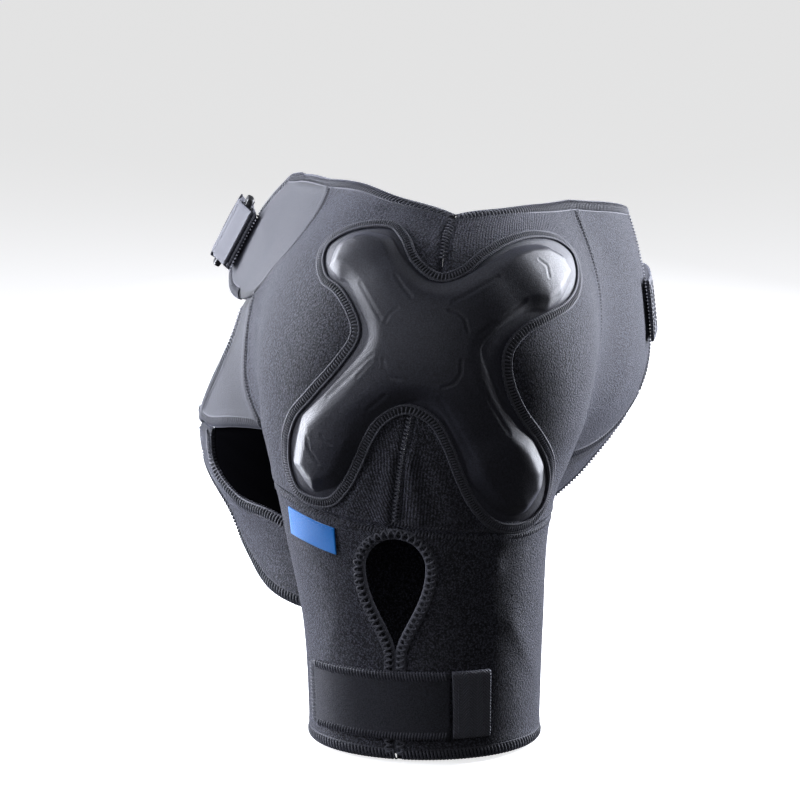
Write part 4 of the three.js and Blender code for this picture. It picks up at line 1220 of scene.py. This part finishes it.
def keyhole_rim():
    """Fat looped thread round the keyhole and down both sides of the slit: one thread that swings
    from the needle line over the cut edge and back for each stitch, a knotted needle line, and
    the pale raw edge of the cloth just inside."""
    path = Line(keyhole_outline(0, SLEEVE_HEM_Z + 2))
    pitch, width = 3.5, 4.6
    count = int(path.length / pitch)
    steps = 12
    s = np.arange(count * steps + 1) / steps
    swing = 0.5 - 0.5 * np.cos(2 * np.pi * s)
    share = (s + 0.22 * np.sin(2 * np.pi * s)) * pitch / path.length
    out = plane_track(path, np.clip(share, 0.004, 0.996), -mix(width, 0.1, swing**0.8))
    height = mix(0.15, 0.55, np.sin(np.pi * swing)) - 0.9 * smoothstep(swing, 0.80, 1.0)
    loops = on_arm_front(out, FABRIC_TOP)
    normal = outward(wearer, loops)
    shapes = [tubes((loops + normal * height[:, None])[None], normal[None], 0.72, 7, 0.85)]
    fine = np.linspace(0.004, 0.996, 5 * count)
    for offset, up, size in ((width + 0.2, -0.1, 0.62), (width - 2.0, 0.0, 0.42),
        (0.2, -0.9, 0.70)):
        chain = on_arm_front(plane_track(path, fine, np.full_like(fine, -offset)), FABRIC_TOP)
        normal = outward(wearer, chain)
        beads = knotted(len(fine), size, 0.35, 5)
        shapes.append(tubes((chain + normal * up)[None], normal[None], beads[None], 6, 0.9))
    sewn("keyhole_overlock", together(*shapes), "keyhole_rim")
    edge = on_arm_front(plane_track(path, fine, np.full_like(fine, 0.35)), FABRIC_TOP)
    normal = outward(wearer, edge)
    raw = tubes((edge - normal * 1.9)[None], normal[None], 0.75, 8, 1.7)
    piece = make("keyhole_raw_edge", raw, CUT_EDGE)
    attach(piece, "garment")


# ---- impact pad ------------------------------------------------------------------------------
def pad_grid(spacing):
    """An even grid over the pad's plane, with each point's place on the fabric and its normal."""
    low, high = PAD_OUTLINE.samples.min(0) - 2, PAD_OUTLINE.samples.max(0) + 2
    a = np.arange(low[0], high[0] + spacing, spacing)
    b = np.arange(low[1], high[1] + spacing, spacing)
    ab = np.stack(np.meshgrid(a, b), -1)
    from_edge = polygon_distance(ab, PAD_OUTLINE.samples[:-1:3])
    from_core = polygon_distance(ab, CORE_OUTLINE)
    skin = on_shoulder(ab, FABRIC_TOP)
    return ab, from_edge, from_core, skin, outward(wearer, skin)


SWELL_CAP = 1.4
SWELL_FRAMES = 20
CLOTH_SETTINGS = {
    "quality": 6, "mass": 0.3, "tension_stiffness": 30, "compression_stiffness": 30,
    "shear_stiffness": 20, "bending_stiffness": 4, "use_pressure": True,
    "uniform_pressure_force": 4, "vertex_group_mass": "pinned"}


def swell(spacing=3.0):
    """How far the stitched-down skin swells between its band and the core: a coarse copy of the
    skin, pinned under the band, is inflated as cloth, and the gain is given on its own grid."""
    ab, from_edge, from_core, skin, normal = pad_grid(spacing)
    rest = skin + normal * film_height(ab, from_core, from_edge)[..., None]
    gain = np.zeros(ab.shape[:2])
    quads = grid_quads(*ab.shape[:2])
    quads = quads[from_edge.ravel()[quads].min(1) > 2]
    shape, used = kept_points(rest, quads)
    piece = make("swelling_skin", shape, FILM)
    pinned = piece.vertex_groups.new(name="pinned")
    held = np.nonzero((from_edge.ravel()[used] < PAD_BAND_WIDTH))[0]
    pinned.add(held.tolist(), 1.0, "REPLACE")
    cloth = piece.modifiers.new("cloth", "CLOTH")
    settings = cloth.settings
    for key, value in CLOTH_SETTINGS.items():
        setattr(settings, key, value)
    settings.effector_weights.gravity = 0
    cloth.collision_settings.use_collision = False
    scene = bpy.context.scene
    for number in range(1, SWELL_FRAMES + 1):
        scene.frame_set(number)
    shown = piece.evaluated_get(bpy.context.evaluated_depsgraph_get())
    now = np.zeros(len(used) * 3, np.float32)
    shown.data.vertices.foreach_get("co", now)
    moved = now.reshape(-1, 3) / MM - rest.reshape(-1, 3)[used]
    rise = (moved * normal.reshape(-1, 3)[used]).sum(-1)
    gain.ravel()[used] = np.clip(rise, -0.4, SWELL_CAP)
    scene.frame_set(1)
    bpy.data.objects.remove(piece)
    return ab, gain


def sampled(grid_ab, values, ab):
    """Values between the points of an even grid, in straight proportion."""
    origin, spacing = grid_ab[0, 0], grid_ab[0, 1, 0] - grid_ab[0, 0, 0]
    where = (ab - origin) / spacing
    i = np.clip(where[..., 0].astype(int), 0, values.shape[1] - 2)
    j = np.clip(where[..., 1].astype(int), 0, values.shape[0] - 2)
    s, t = np.clip(where[..., 0] - i, 0, 1), np.clip(where[..., 1] - j, 0, 1)
    low = mix(values[j, i], values[j, i + 1], s)
    high = mix(values[j + 1, i], values[j + 1, i + 1], s)
    return mix(low, high, t)


def pad():
    """The moulded core and the satin skin over it."""
    coarse, gain = swell()
    ab, from_edge, from_core, skin, normal = pad_grid(0.75)
    height = film_height(ab, from_core, from_edge)
    soft = sampled(coarse, gain, ab) * smoothstep(from_edge, 4.5, 9)
    outer = skin + normal * (height + soft)[..., None]
    quads = grid_quads(*ab.shape[:2])
    quads = quads[from_edge.ravel()[quads].min(1) > 3.2]
    raised = smoothstep(from_core, -0.5, 1.5)
    shape, used = kept_points(outer, quads, ab)
    cover = make("pad_skin", shape, FILM, {"raised": raised.ravel()[used]})
    thicken(cover, 0.7)
    stands_for(cover, "garment", "pad_cover")
    core_ab, edge, from_core, skin, normal = pad_grid(2.0)
    top = skin + normal * (film_height(core_ab, from_core, edge) - 1.2)[..., None]
    quads = grid_quads(*core_ab.shape[:2])
    quads = quads[from_core.ravel()[quads].min(1) > 1.6]
    crown, used = kept_points(top, quads)
    quads, count = crown.quads, len(used)
    floor = (skin + normal * 0.4).reshape(-1, 3)[used]
    shape = Shape(np.vstack([crown.points, floor]),
                  np.vstack([quads, quads[:, ::-1] + count, rim_quads(quads, count)]))
    core = make("moulded_core", facing_out(shape), FOAM)
    stands_for(core, "garment", "pad_core")


def rim_quads(quads, count):
    """The quads that join the open edge of one layer of quads to its copy, numbered count
    higher."""
    edges = np.concatenate([quads[:, [k, (k + 1) % 4]] for k in range(4)])
    number = edges @ [count, 1]
    border = edges[~np.isin(number, edges @ [1, count])]
    return np.stack([border[:, 1], border[:, 0], border[:, 0] + count, border[:, 1] + count], -1)


def on_pad(share, inset, height):
    """A point near the pad's outline: inset is square to it, towards the middle."""
    share, inset, height = np.broadcast_arrays(share, inset, height)
    p = PAD_OUTLINE.at(share % 1.0)
    step = 0.0015
    run = unit(PAD_OUTLINE.at((share + step) % 1.0) - PAD_OUTLINE.at((share - step) % 1.0))
    inward = np.stack([-run[..., 1], run[..., 0]], -1) * OUTLINE_TURN
    place = on_shoulder(p + inward * inset[..., None], FABRIC_TOP)
    normal = outward(wearer, place)
    return place + normal * height[..., None], normal


def outline_turn():
    """+1 where the outline's left side is its inside, and -1 where it is its outside."""
    p = PAD_OUTLINE.samples
    return float(np.sign((p[:-1, 0] * p[1:, 1] - p[1:, 0] * p[:-1, 1]).sum()))


OUTLINE_TURN = outline_turn()


def pad_band():
    """The dense cover stitch that holds the skin down: a raised tape, a knotted ridge along each
    side, and cross threads close together between them. The tape's dark colour is painted shade
    between the threads."""
    count = int(PAD_OUTLINE.length / 1.65)
    share = np.arange(2 * count)[:, None] / (2 * count)
    columns = 9
    t = np.linspace(0, 1, columns)
    inset = mix(0.1, PAD_BAND_WIDTH + 0.3, t)
    crown = 0.25 + 0.95 * np.sin(np.pi * t) ** 0.5
    top, normal = on_pad(share, inset, crown)
    under = top - normal * (crown + 0.6)[:, None]
    rows = len(share)
    quads = grid_quads(rows, columns)
    place = np.arange(columns - 1)
    wrap = np.stack([place, place + 1, place + 1, place], -1)
    wrap[:, :2] += (rows - 1) * columns
    quads = np.vstack([quads, wrap])
    both = np.vstack([quads, quads[:, ::-1] + rows * columns])
    around = np.arange(rows)
    after = (around + 1) % rows
    around, after = around * columns, after * columns
    left = np.stack([after, around, around + rows * columns, after + rows * columns], -1)
    right = left[:, ::-1] + columns - 1
    tape = facing_out(Shape(np.vstack([top.reshape(-1, 3), under.reshape(-1, 3)]),
        np.vstack([both, left, right])))
    # the tape is coloured as painted shade between the cross threads
    ground = make("pad_band_ground", tape, BAND_GROUND_SHADE)
    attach(ground, "garment")
    shapes = []
    fine = np.arange(4 * count) / (4 * count)
    for inset, up, size in ((0.8, 0.95, 0.92), (5.3, 1.1, 0.95)):
        chain, normal = on_pad(fine, np.full_like(fine, inset), up)
        beads = knotted(len(fine), size, 0.28)
        shapes.append(tubes(chain[None], normal[None], beads[None], 7, 0.9, closed=True))
    station = np.arange(count)[:, None] / count
    q = np.linspace(0, 1, 6)
    bars, ups = on_pad(station + 0.35 * q / count, mix(0.9, 5.2, q), 1.0
        + 0.6 * np.sin(np.pi * q) ** 0.6)
    shapes.append(tubes(bars, ups, 0.46, 6, 0.8))
    sewn("pad_cover_stitch", together(*shapes), "pad_stitch_band")


# ---- webbing, ring and tabs ------------------------------------------------------------------
strap_height = levels([(-290, -8), (-255, -8), (-180, -30), (-105, 24), (-80, STRAP_FRONT_Z)])


def on_torso(turn, across, height):
    """A point of the strap's route: turn in degrees round the torso, across up the webbing."""
    turn, across, height = np.broadcast_arrays(turn, across, height)
    angle = np.radians(turn)
    direction = np.stack([np.cos(angle), np.sin(angle), np.zeros_like(angle)], -1)
    origin = np.stack([np.full_like(angle, TORSO_AXIS_X), 0 * angle, strap_height(turn) + across],
        -1)
    base = reach(origin, direction, 0.0, torso)
    return base + outward(torso, base) * height[..., None]


def flat_band(place, along, width, low, high, corner=0.0):
    """A woven band as a closed sheet: its two faces draw together along both selvedges, and its
    last end may have round corners. place(along, across, height) gives a point."""
    t = np.sin(np.linspace(-0.5, 0.5, 17) * np.pi)
    edge = np.sqrt(np.clip(1 - np.abs(t) ** 14, 0, 1)) * 0.42 + 0.58
    share = np.linspace(0, 1, len(along))[:, None]
    narrow = np.ones_like(share)
    if corner:
        narrow = 1 - 0.16 * np.clip((share - (1 - corner)) / corner, 0, 1) ** 4
    across = 0.5 * width * t * narrow
    middle, half = (low + high) / 2, (high - low) / 2
    middle, half = np.broadcast_to(middle, share.shape), np.broadcast_to(half, share.shape)
    ridge = 0.12 * bump(np.abs(t) - 0.86, 0.07)
    outer = place(along[:, None], across, middle + half * (edge + ridge))
    inner = place(along[:, None], across, middle - half * edge)
    return closed_sheet(outer, inner)


def ring_frame():
    """The ring's own axes: its seat on the chest, along the strap, up the ring and out from the
    chest."""
    front = np.array([[RING_X, float(torso_front(np.array(STRAP_FRONT_Z))), STRAP_FRONT_Z]], float)
    seat = settle(front, RING_LIFT, torso, 14)[0]
    out = outward(torso, seat[None])[0]
    up = unit(np.array([0, 0, 1]) - out * out[2])
    along = unit(np.cross(up, out))
    along = -along if along[0] > 0 else along
    return seat, along, np.cross(out, along), out


SEAT, ALONG, UP, OUT = ring_frame()


def in_ring(p):
    """Points given in the ring's own axes, in the frame's."""
    return SEAT + p[..., 0:1] * ALONG + p[..., 1:2] * UP + p[..., 2:3] * OUT


def ring_piece():
    """A moulded rectangular ring: a round-cornered frame with a rounded square section."""
    steps, sides = 160, 20
    half = WEBBING_WIDTH / 2 + RING_SLOT_CLEARANCE + RING_BAR / 2
    corners = [(0, -half, 2.6), (RING_PITCH, -half, 2.6), (RING_PITCH, half, 2.6), (0, half, 2.6)]
    path = Line(np.vstack([rounded(corners), rounded(corners)[:1]]))
    flat = path.at(np.arange(steps) / steps)
    centre = in_ring(np.concatenate([flat, np.zeros((steps, 1))], -1))
    run = unit(np.roll(centre, -1, 0) - np.roll(centre, 1, 0))
    side = np.cross(run, OUT)
    turn = np.arange(sides) * 2 * np.pi / sides
    cos, sin = np.cos(turn), np.sin(turn)
    square = 0.5 * RING_BAR * np.stack([np.sign(cos) * np.abs(cos) ** 0.55,
        np.sign(sin) * np.abs(sin) ** 0.55])
    rings = centre[:, None] + square[0][:, None] * side[:, None] + square[1][:, None] * OUT
    number = np.arange(steps * sides).reshape(steps, sides)
    after = np.roll(number, -1, 0)
    quads = np.stack([number, after, np.roll(after, -1, 1), np.roll(number, -1, 1)], -1).reshape(-1,
        4)
    piece = make("moulded_ring", facing_out(Shape(rings, quads)), PLASTIC)
    stands_for(piece, "ring", "chest_ring")


def folded_webbing(name, node, bar_x, way, leg, body, upper_end=None):
    """Webbing that comes in below a bar of the ring, turns round it and goes back above it."""
    radius = (FOLD_BORE + FOLD_OUTER) / 2
    turn = np.linspace(-np.pi / 2, np.pi / 2, 25)
    steps = np.linspace(0, 1, 12)
    low = np.stack([-leg * (1 - steps), 0 * steps - radius], -1)
    arc = np.stack([radius * np.cos(turn), radius * np.sin(turn)], -1)
    end = radius if upper_end is None else upper_end
    high = np.stack([-leg * steps, mix(radius, end, smoothstep(steps, 0, 1))], -1)
    path = Line(np.vstack([low[:-1], arc, high[1:]]))

    def place(along, across, height):
        along, across, height = np.broadcast_arrays(along, across, height)
        p = path.at(along)
        run = unit(path.at(along + 0.01) - path.at(along - 0.01))
        out = np.stack([run[..., 1], -run[..., 0]], -1)
        p = p + out * height[..., None]
        return in_ring(np.stack([bar_x + way * p[..., 0], across, p[..., 1]], -1))

    shape = flat_band(place, np.linspace(0, 1, 70), WEBBING_WIDTH, -WEBBING / 2, WEBBING / 2)
    piece = make(name, shape, WEB)
    stands_for(piece, body, node)


def strap_start():
    """The turn at which the strap leaves the ring's fold."""
    leg_end = in_ring(np.array([[RING_PITCH + FOLD_LEG + 1, 0, 0]], float))[0]
    return float(np.degrees(np.arctan2(leg_end[1], leg_end[0] - TORSO_AXIS_X)))


STRAP_START = strap_start()


def strap_stitches(turns, acrosses, height):
    """A row of lock stitches between two points of a strap's face."""
    count = max(3, int(round(np.hypot((turns[1] - turns[0]) / LOCK_TURN,
        (acrosses[1] - acrosses[0]) / LOCK_PITCH))))
    s = (np.arange(count) + 0.5) / count
    q = LOCK_SHARE[None] / count + s[:, None]
    p = on_torso(mix(*turns, q), mix(*acrosses, q), height + LOCK_HEIGHT)
    return tubes(p, outward(torso, p), 0.36, 6, 0.9)


def straps():
    """The body strap, its sewn anchor, its folded tail with the hook patch, and the ring's
    loops."""
    folded_webbing("ring_loop_webbing", "ring_loop", 0, 1, LOOP_LEG, "garment",
                   -FOLD_OUTER + 2.3 * WEBBING - WEBBING / 2)
    folded_webbing("strap_fold_webbing", "strap_fold", RING_PITCH, -1, FOLD_LEG, "ring")
    turns = np.linspace(STRAP_START, STRAP_END, 330)
    strap = make("body_strap_webbing",
        flat_band(on_torso, turns, WEBBING_WIDTH, WEBBING_BASE, WEBBING_TOP),
                 WEB)
    stands_for(strap, "garment", "body_strap")
    turns = np.linspace(STRAP_START, STRAP_START - STRAP_TAIL_TURN, 90)
    share = np.linspace(0, 1, 90)[:, None]
    low = mix(RING_LIFT + FOLD_BORE, WEBBING_TOP + 2, smoothstep(share, 0, 0.36))
    tail_shape = flat_band(on_torso, turns, WEBBING_WIDTH, low, low + 1.6, corner=0.08)
    half = WEBBING_WIDTH / 2 - 3
    rows = [strap_stitches((STRAP_START - 24, STRAP_START - 45), (side, side), WEBBING_TOP + 3.6)
            for side in (-half, half)]
    rows.append(strap_stitches((STRAP_START - 45, STRAP_START - 45), (-half, half), WEBBING_TOP
        + 3.6))
    tail = make("strap_tail_webbing", tail_shape, WEB)
    stands_for(tail, "strap_end", "strap_tail")
    stitched = make("strap_tail_stitches", together(*rows), THREAD)
    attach(stitched, "strap_end")
    turns = np.linspace(STRAP_START - 0.5 * STRAP_TAIL_TURN, STRAP_START - 0.98 * STRAP_TAIL_TURN,
        40)
    patch = make("strap_hook_tape", flat_band(on_torso, turns, WEBBING_WIDTH - 3, WEBBING_TOP + 0.5,
                                              WEBBING_TOP + 1.5), HOOK)
    stands_for(patch, "strap_end", "tail_hook_patch")
    inset = WEBBING_WIDTH / 2 - 3.5
    near, far = STRAP_END + 1, STRAP_END + 9
    box = [((near, far), (-inset, -inset)), ((near, far), (inset, inset)),
           ((near, near), (-inset, inset)), ((far, far), (-inset, inset)),
           ((near, far), (-inset, inset)), ((near, far), (inset, -inset))]
    sewn("strap_anchor_box_stitch",
         together(*[strap_stitches(t, a, WEBBING_TOP + 0.15) for t, a in box]), "strap_anchor")


def round_sleeve(top_z):
    """place() for bands that lie round the sleeve: along in degrees, across up from their
    middle."""
    def place(along, across, height):
        along, across, height = np.broadcast_arrays(along, across, height)
        p = sleeve_point(along, top_z + across, 0.0)
        return p + outward(arm, p) * height[..., None]
    return place


def sleeve_tab():
    """The flat tab over the slit: its sewn base, the flap and the hook patch under the flap's
    end."""
    middle = SLEEVE_HEM_Z + TAB_LIFT + TAB_HEIGHT / 2
    place = round_sleeve(middle)
    base_shape = flat_band(place, np.linspace(TAB_HINGE + 1, TAB_HINGE + 22, 30), TAB_HEIGHT,
                           TAPE_TOP - 1.4, TAB_BASE + TAB_CLOTH)
    base = make("sleeve_tab_anchor", base_shape, WEB)
    stands_for(base, "garment", "sleeve_tab_base")
    flap_shape = flat_band(place, np.linspace(TAB_HINGE - 1, TAB_TIP, 90), TAB_HEIGHT, TAB_BASE,
                           TAB_BASE + TAB_CLOTH, corner=0.10)
    flap = make("sleeve_tab_flap", flap_shape, SMOOTH)
    stands_for(flap, "sleeve_flap", "sleeve_tab")
    patch_shape = flat_band(place, np.linspace(-44, TAB_TIP + 1, 30), TAB_HEIGHT - 3, TAPE_TOP
        - 0.9, TAB_BASE - 0.4)
    patch = make("sleeve_hook_tape", patch_shape, HOOK)
    stands_for(patch, "sleeve_flap", "tab_hook_patch")
    sleeve_tab_stitches(place)


def sleeve_tab_stitches(place):
    """Overlock-like threads round the flap's free sides, and a box of stitches on its sewn base."""
    half = TAB_HEIGHT / 2
    turns = np.linspace(TAB_HINGE - 3, TAB_TIP + 6, 46)
    q = np.array([0, 0.2, 0.5, 0.8, 1.0, 1.1])
    lift = TAB_BASE + np.array([1.3, 1.75, 1.95, 1.7, 0.9, -0.1])
    shapes = []
    for side in (-1, 1):
        p = place(turns[:, None] - 0.9 * q, side * (half - 4.2 + 4.2 * q), lift)
        shapes.append(tubes(p, outward(arm, p), 0.42, 6, 0.85))
    rows = np.linspace(-half + 3, half - 3, 16)
    p = place(TAB_TIP + 3.6 - 3.4 * q, rows[:, None] + 0.8 * q, lift)
    shapes.append(tubes(p, outward(arm, p), 0.42, 6, 0.85))
    stitched = make("sleeve_tab_stitches", together(*shapes), THREAD)
    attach(stitched, "sleeve_flap")
    lift = TAB_BASE + TAB_CLOTH + LOCK_HEIGHT
    rows = []
    for turn in (TAB_HINGE + 4, TAB_HINGE + 11, TAB_HINGE + 18):
        across = np.linspace(-half + 4, half - 4, 12)
        p = place(turn + 0 * across[:, None], across[:, None] + LOCK_PITCH * LOCK_SHARE, lift)
        rows.append(tubes(p, outward(arm, p), 0.36, 6, 0.9))
    anchored = make("sleeve_tab_anchor_stitches", together(*rows), THREAD)
    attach(anchored, "garment")


def label():
    """The folded label under the sleeve seam: a thin cloth with a rolled lower fold."""
    turn = np.degrees(LABEL_LENGTH / 64)
    start = -68.0
    degrees = np.linspace(start, start + turn, 46)
    down = np.linspace(0, 1, 25)[:, None]
    top = sleeve_top(degrees) - 6.5
    z = top[None] - LABEL_HEIGHT * down
    p = sleeve_point(np.broadcast_to(degrees, z.shape), z, FABRIC_TOP)
    normal = outward(wearer, p)
    share = np.linspace(0, 1, 46)[None]
    lift = 0.8 + 0.7 * down**2 + 0.35 * np.sin(share * 5 + 1) * down + 0.5 * (1 - share) ** 6
    outer = p + normal * (lift + 0.45)[..., None]
    inner = p + normal * (lift - 0.45 * np.sqrt(np.clip(1 - down**8, 0, 1)))[..., None]
    piece = make("plain_label", closed_sheet(outer, inner), LABEL)
    stands_for(piece, "garment", "woven_label")
    turns = np.linspace(start + 1.5, start + turn - 1.5, 11)
    p = sleeve_point(turns[:, None] + 1.7 * LOCK_SHARE, sleeve_top(turns)[:, None] - 7.6,
        FABRIC_TOP)
    normal = outward(wearer, p)
    rows = tubes(p + normal * (1.35 + np.array([-0.3, 0, 0.12, 0, -0.3]))[:, None], normal, 0.22, 5)
    stitched = make("label_stitches", rows, LABEL)
    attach(stitched, "garment")


# ---- studio ----------------------------------------------------------------------------------
def camera():
    """At the height of the shoulder, looking across the wearer from the arm's side."""
    azimuth, elevation, distance = np.radians(92), np.radians(11), 1.8
    aim = Vector((0.062, -0.012, -0.020))
    back = Vector((np.sin(azimuth) * np.cos(elevation), -np.cos(azimuth) * np.cos(elevation),
        np.sin(elevation)))
    data = bpy.data.cameras.new("camera")
    data.sensor_width = 36
    data.lens = 150
    seat = bpy.data.objects.new("camera", data)
    seat.location = aim + back * distance
    seat.rotation_mode = "QUATERNION"
    seat.rotation_quaternion = (-back).to_track_quat("-Z", "Y")
    bpy.context.scene.collection.objects.link(seat)
    bpy.context.scene.camera = seat


def soft_light(name, place, aim, size, power, tint):
    """A rectangular area light at a place, turned to its aim."""
    data = bpy.data.lights.new(name, "AREA")
    data.shape = "RECTANGLE"
    data.size, data.size_y = size
    data.energy = power
    data.color = tint
    lamp = bpy.data.objects.new(name, data)
    lamp.location = place
    lamp.rotation_mode = "QUATERNION"
    lamp.rotation_quaternion = (Vector(aim) - Vector(place)).to_track_quat("-Z", "Y")
    bpy.context.scene.collection.objects.link(lamp)


def studio():
    """Strip lights on both flanks, a faint fill, a white room and a pale floor."""
    view = bpy.context.scene.view_settings
    view.view_transform = "Standard"
    view.look = "None"
    view.exposure = 0.0
    cool = (0.88, 0.91, 1.0)
    soft_light("rim_left", (-0.60, -0.98, 0.0), (0, 0, -0.05), (0.40, 1.6), 72, cool)
    soft_light("rim_right", (-0.72, 0.95, 0.22), (0, 0, -0.02), (0.40, 1.1), 64, cool)
    soft_light("side_left", (0.30, -1.25, 0.35), (0, 0, -0.05), (0.5, 1.2), 16, cool)
    soft_light("top", (-0.3, 0.0, 1.3), (-0.02, 0, 0), (0.9, 0.9), 2.0, cool)
    soft_light("fill", (1.9, -0.3, 0.9), (0, 0, -0.05), (1.2, 1.2), 7.0, cool)
    world = bpy.data.worlds.new("studio")
    bpy.context.scene.world = world
    world.use_nodes = True
    tree = world.node_tree
    background = tree.nodes["Background"]
    ray = tree.nodes.new("ShaderNodeLightPath")
    strength = tree.nodes.new("ShaderNodeMapRange")
    strength.inputs["To Min"].default_value = 0.05
    strength.inputs["To Max"].default_value = 1.0
    tree.links.new(ray.outputs["Is Camera Ray"], strength.inputs["Value"])
    tree.links.new(strength.outputs["Result"], background.inputs["Strength"])
    background.inputs["Color"].default_value = (1, 1, 1, 1)
    floor_z = (SLEEVE_HEM_Z - 2) * MM
    mesh = bpy.data.meshes.new("floor")
    reach_out = 14
    corners = [(-reach_out, -reach_out), (reach_out, -reach_out), (reach_out, reach_out),
        (-reach_out, reach_out)]
    mesh.from_pydata([(x, y, floor_z) for x, y in corners], [], [(0, 1, 2, 3)])
    floor = bpy.data.objects.new("floor", mesh)
    bpy.context.scene.collection.objects.link(floor)
    n = Nodes("floor_paint")
    n.shade(Base_Color=colour(0.85, 0.85, 0.86), Roughness=0.9, Specular_IOR_Level=0.1,
            Emission_Color=colour(1, 1, 1), Emission_Strength=0.72)
    mesh.materials.append(n.material)
    floor.visible_diffuse = False
    floor.visible_glossy = False


camera()
panels()
gusset()
sleeve()
edges_and_seams()
sleeve_hem()
keyhole_rim()
pad()
pad_band()
straps()
ring_piece()
sleeve_tab()
label()
studio()
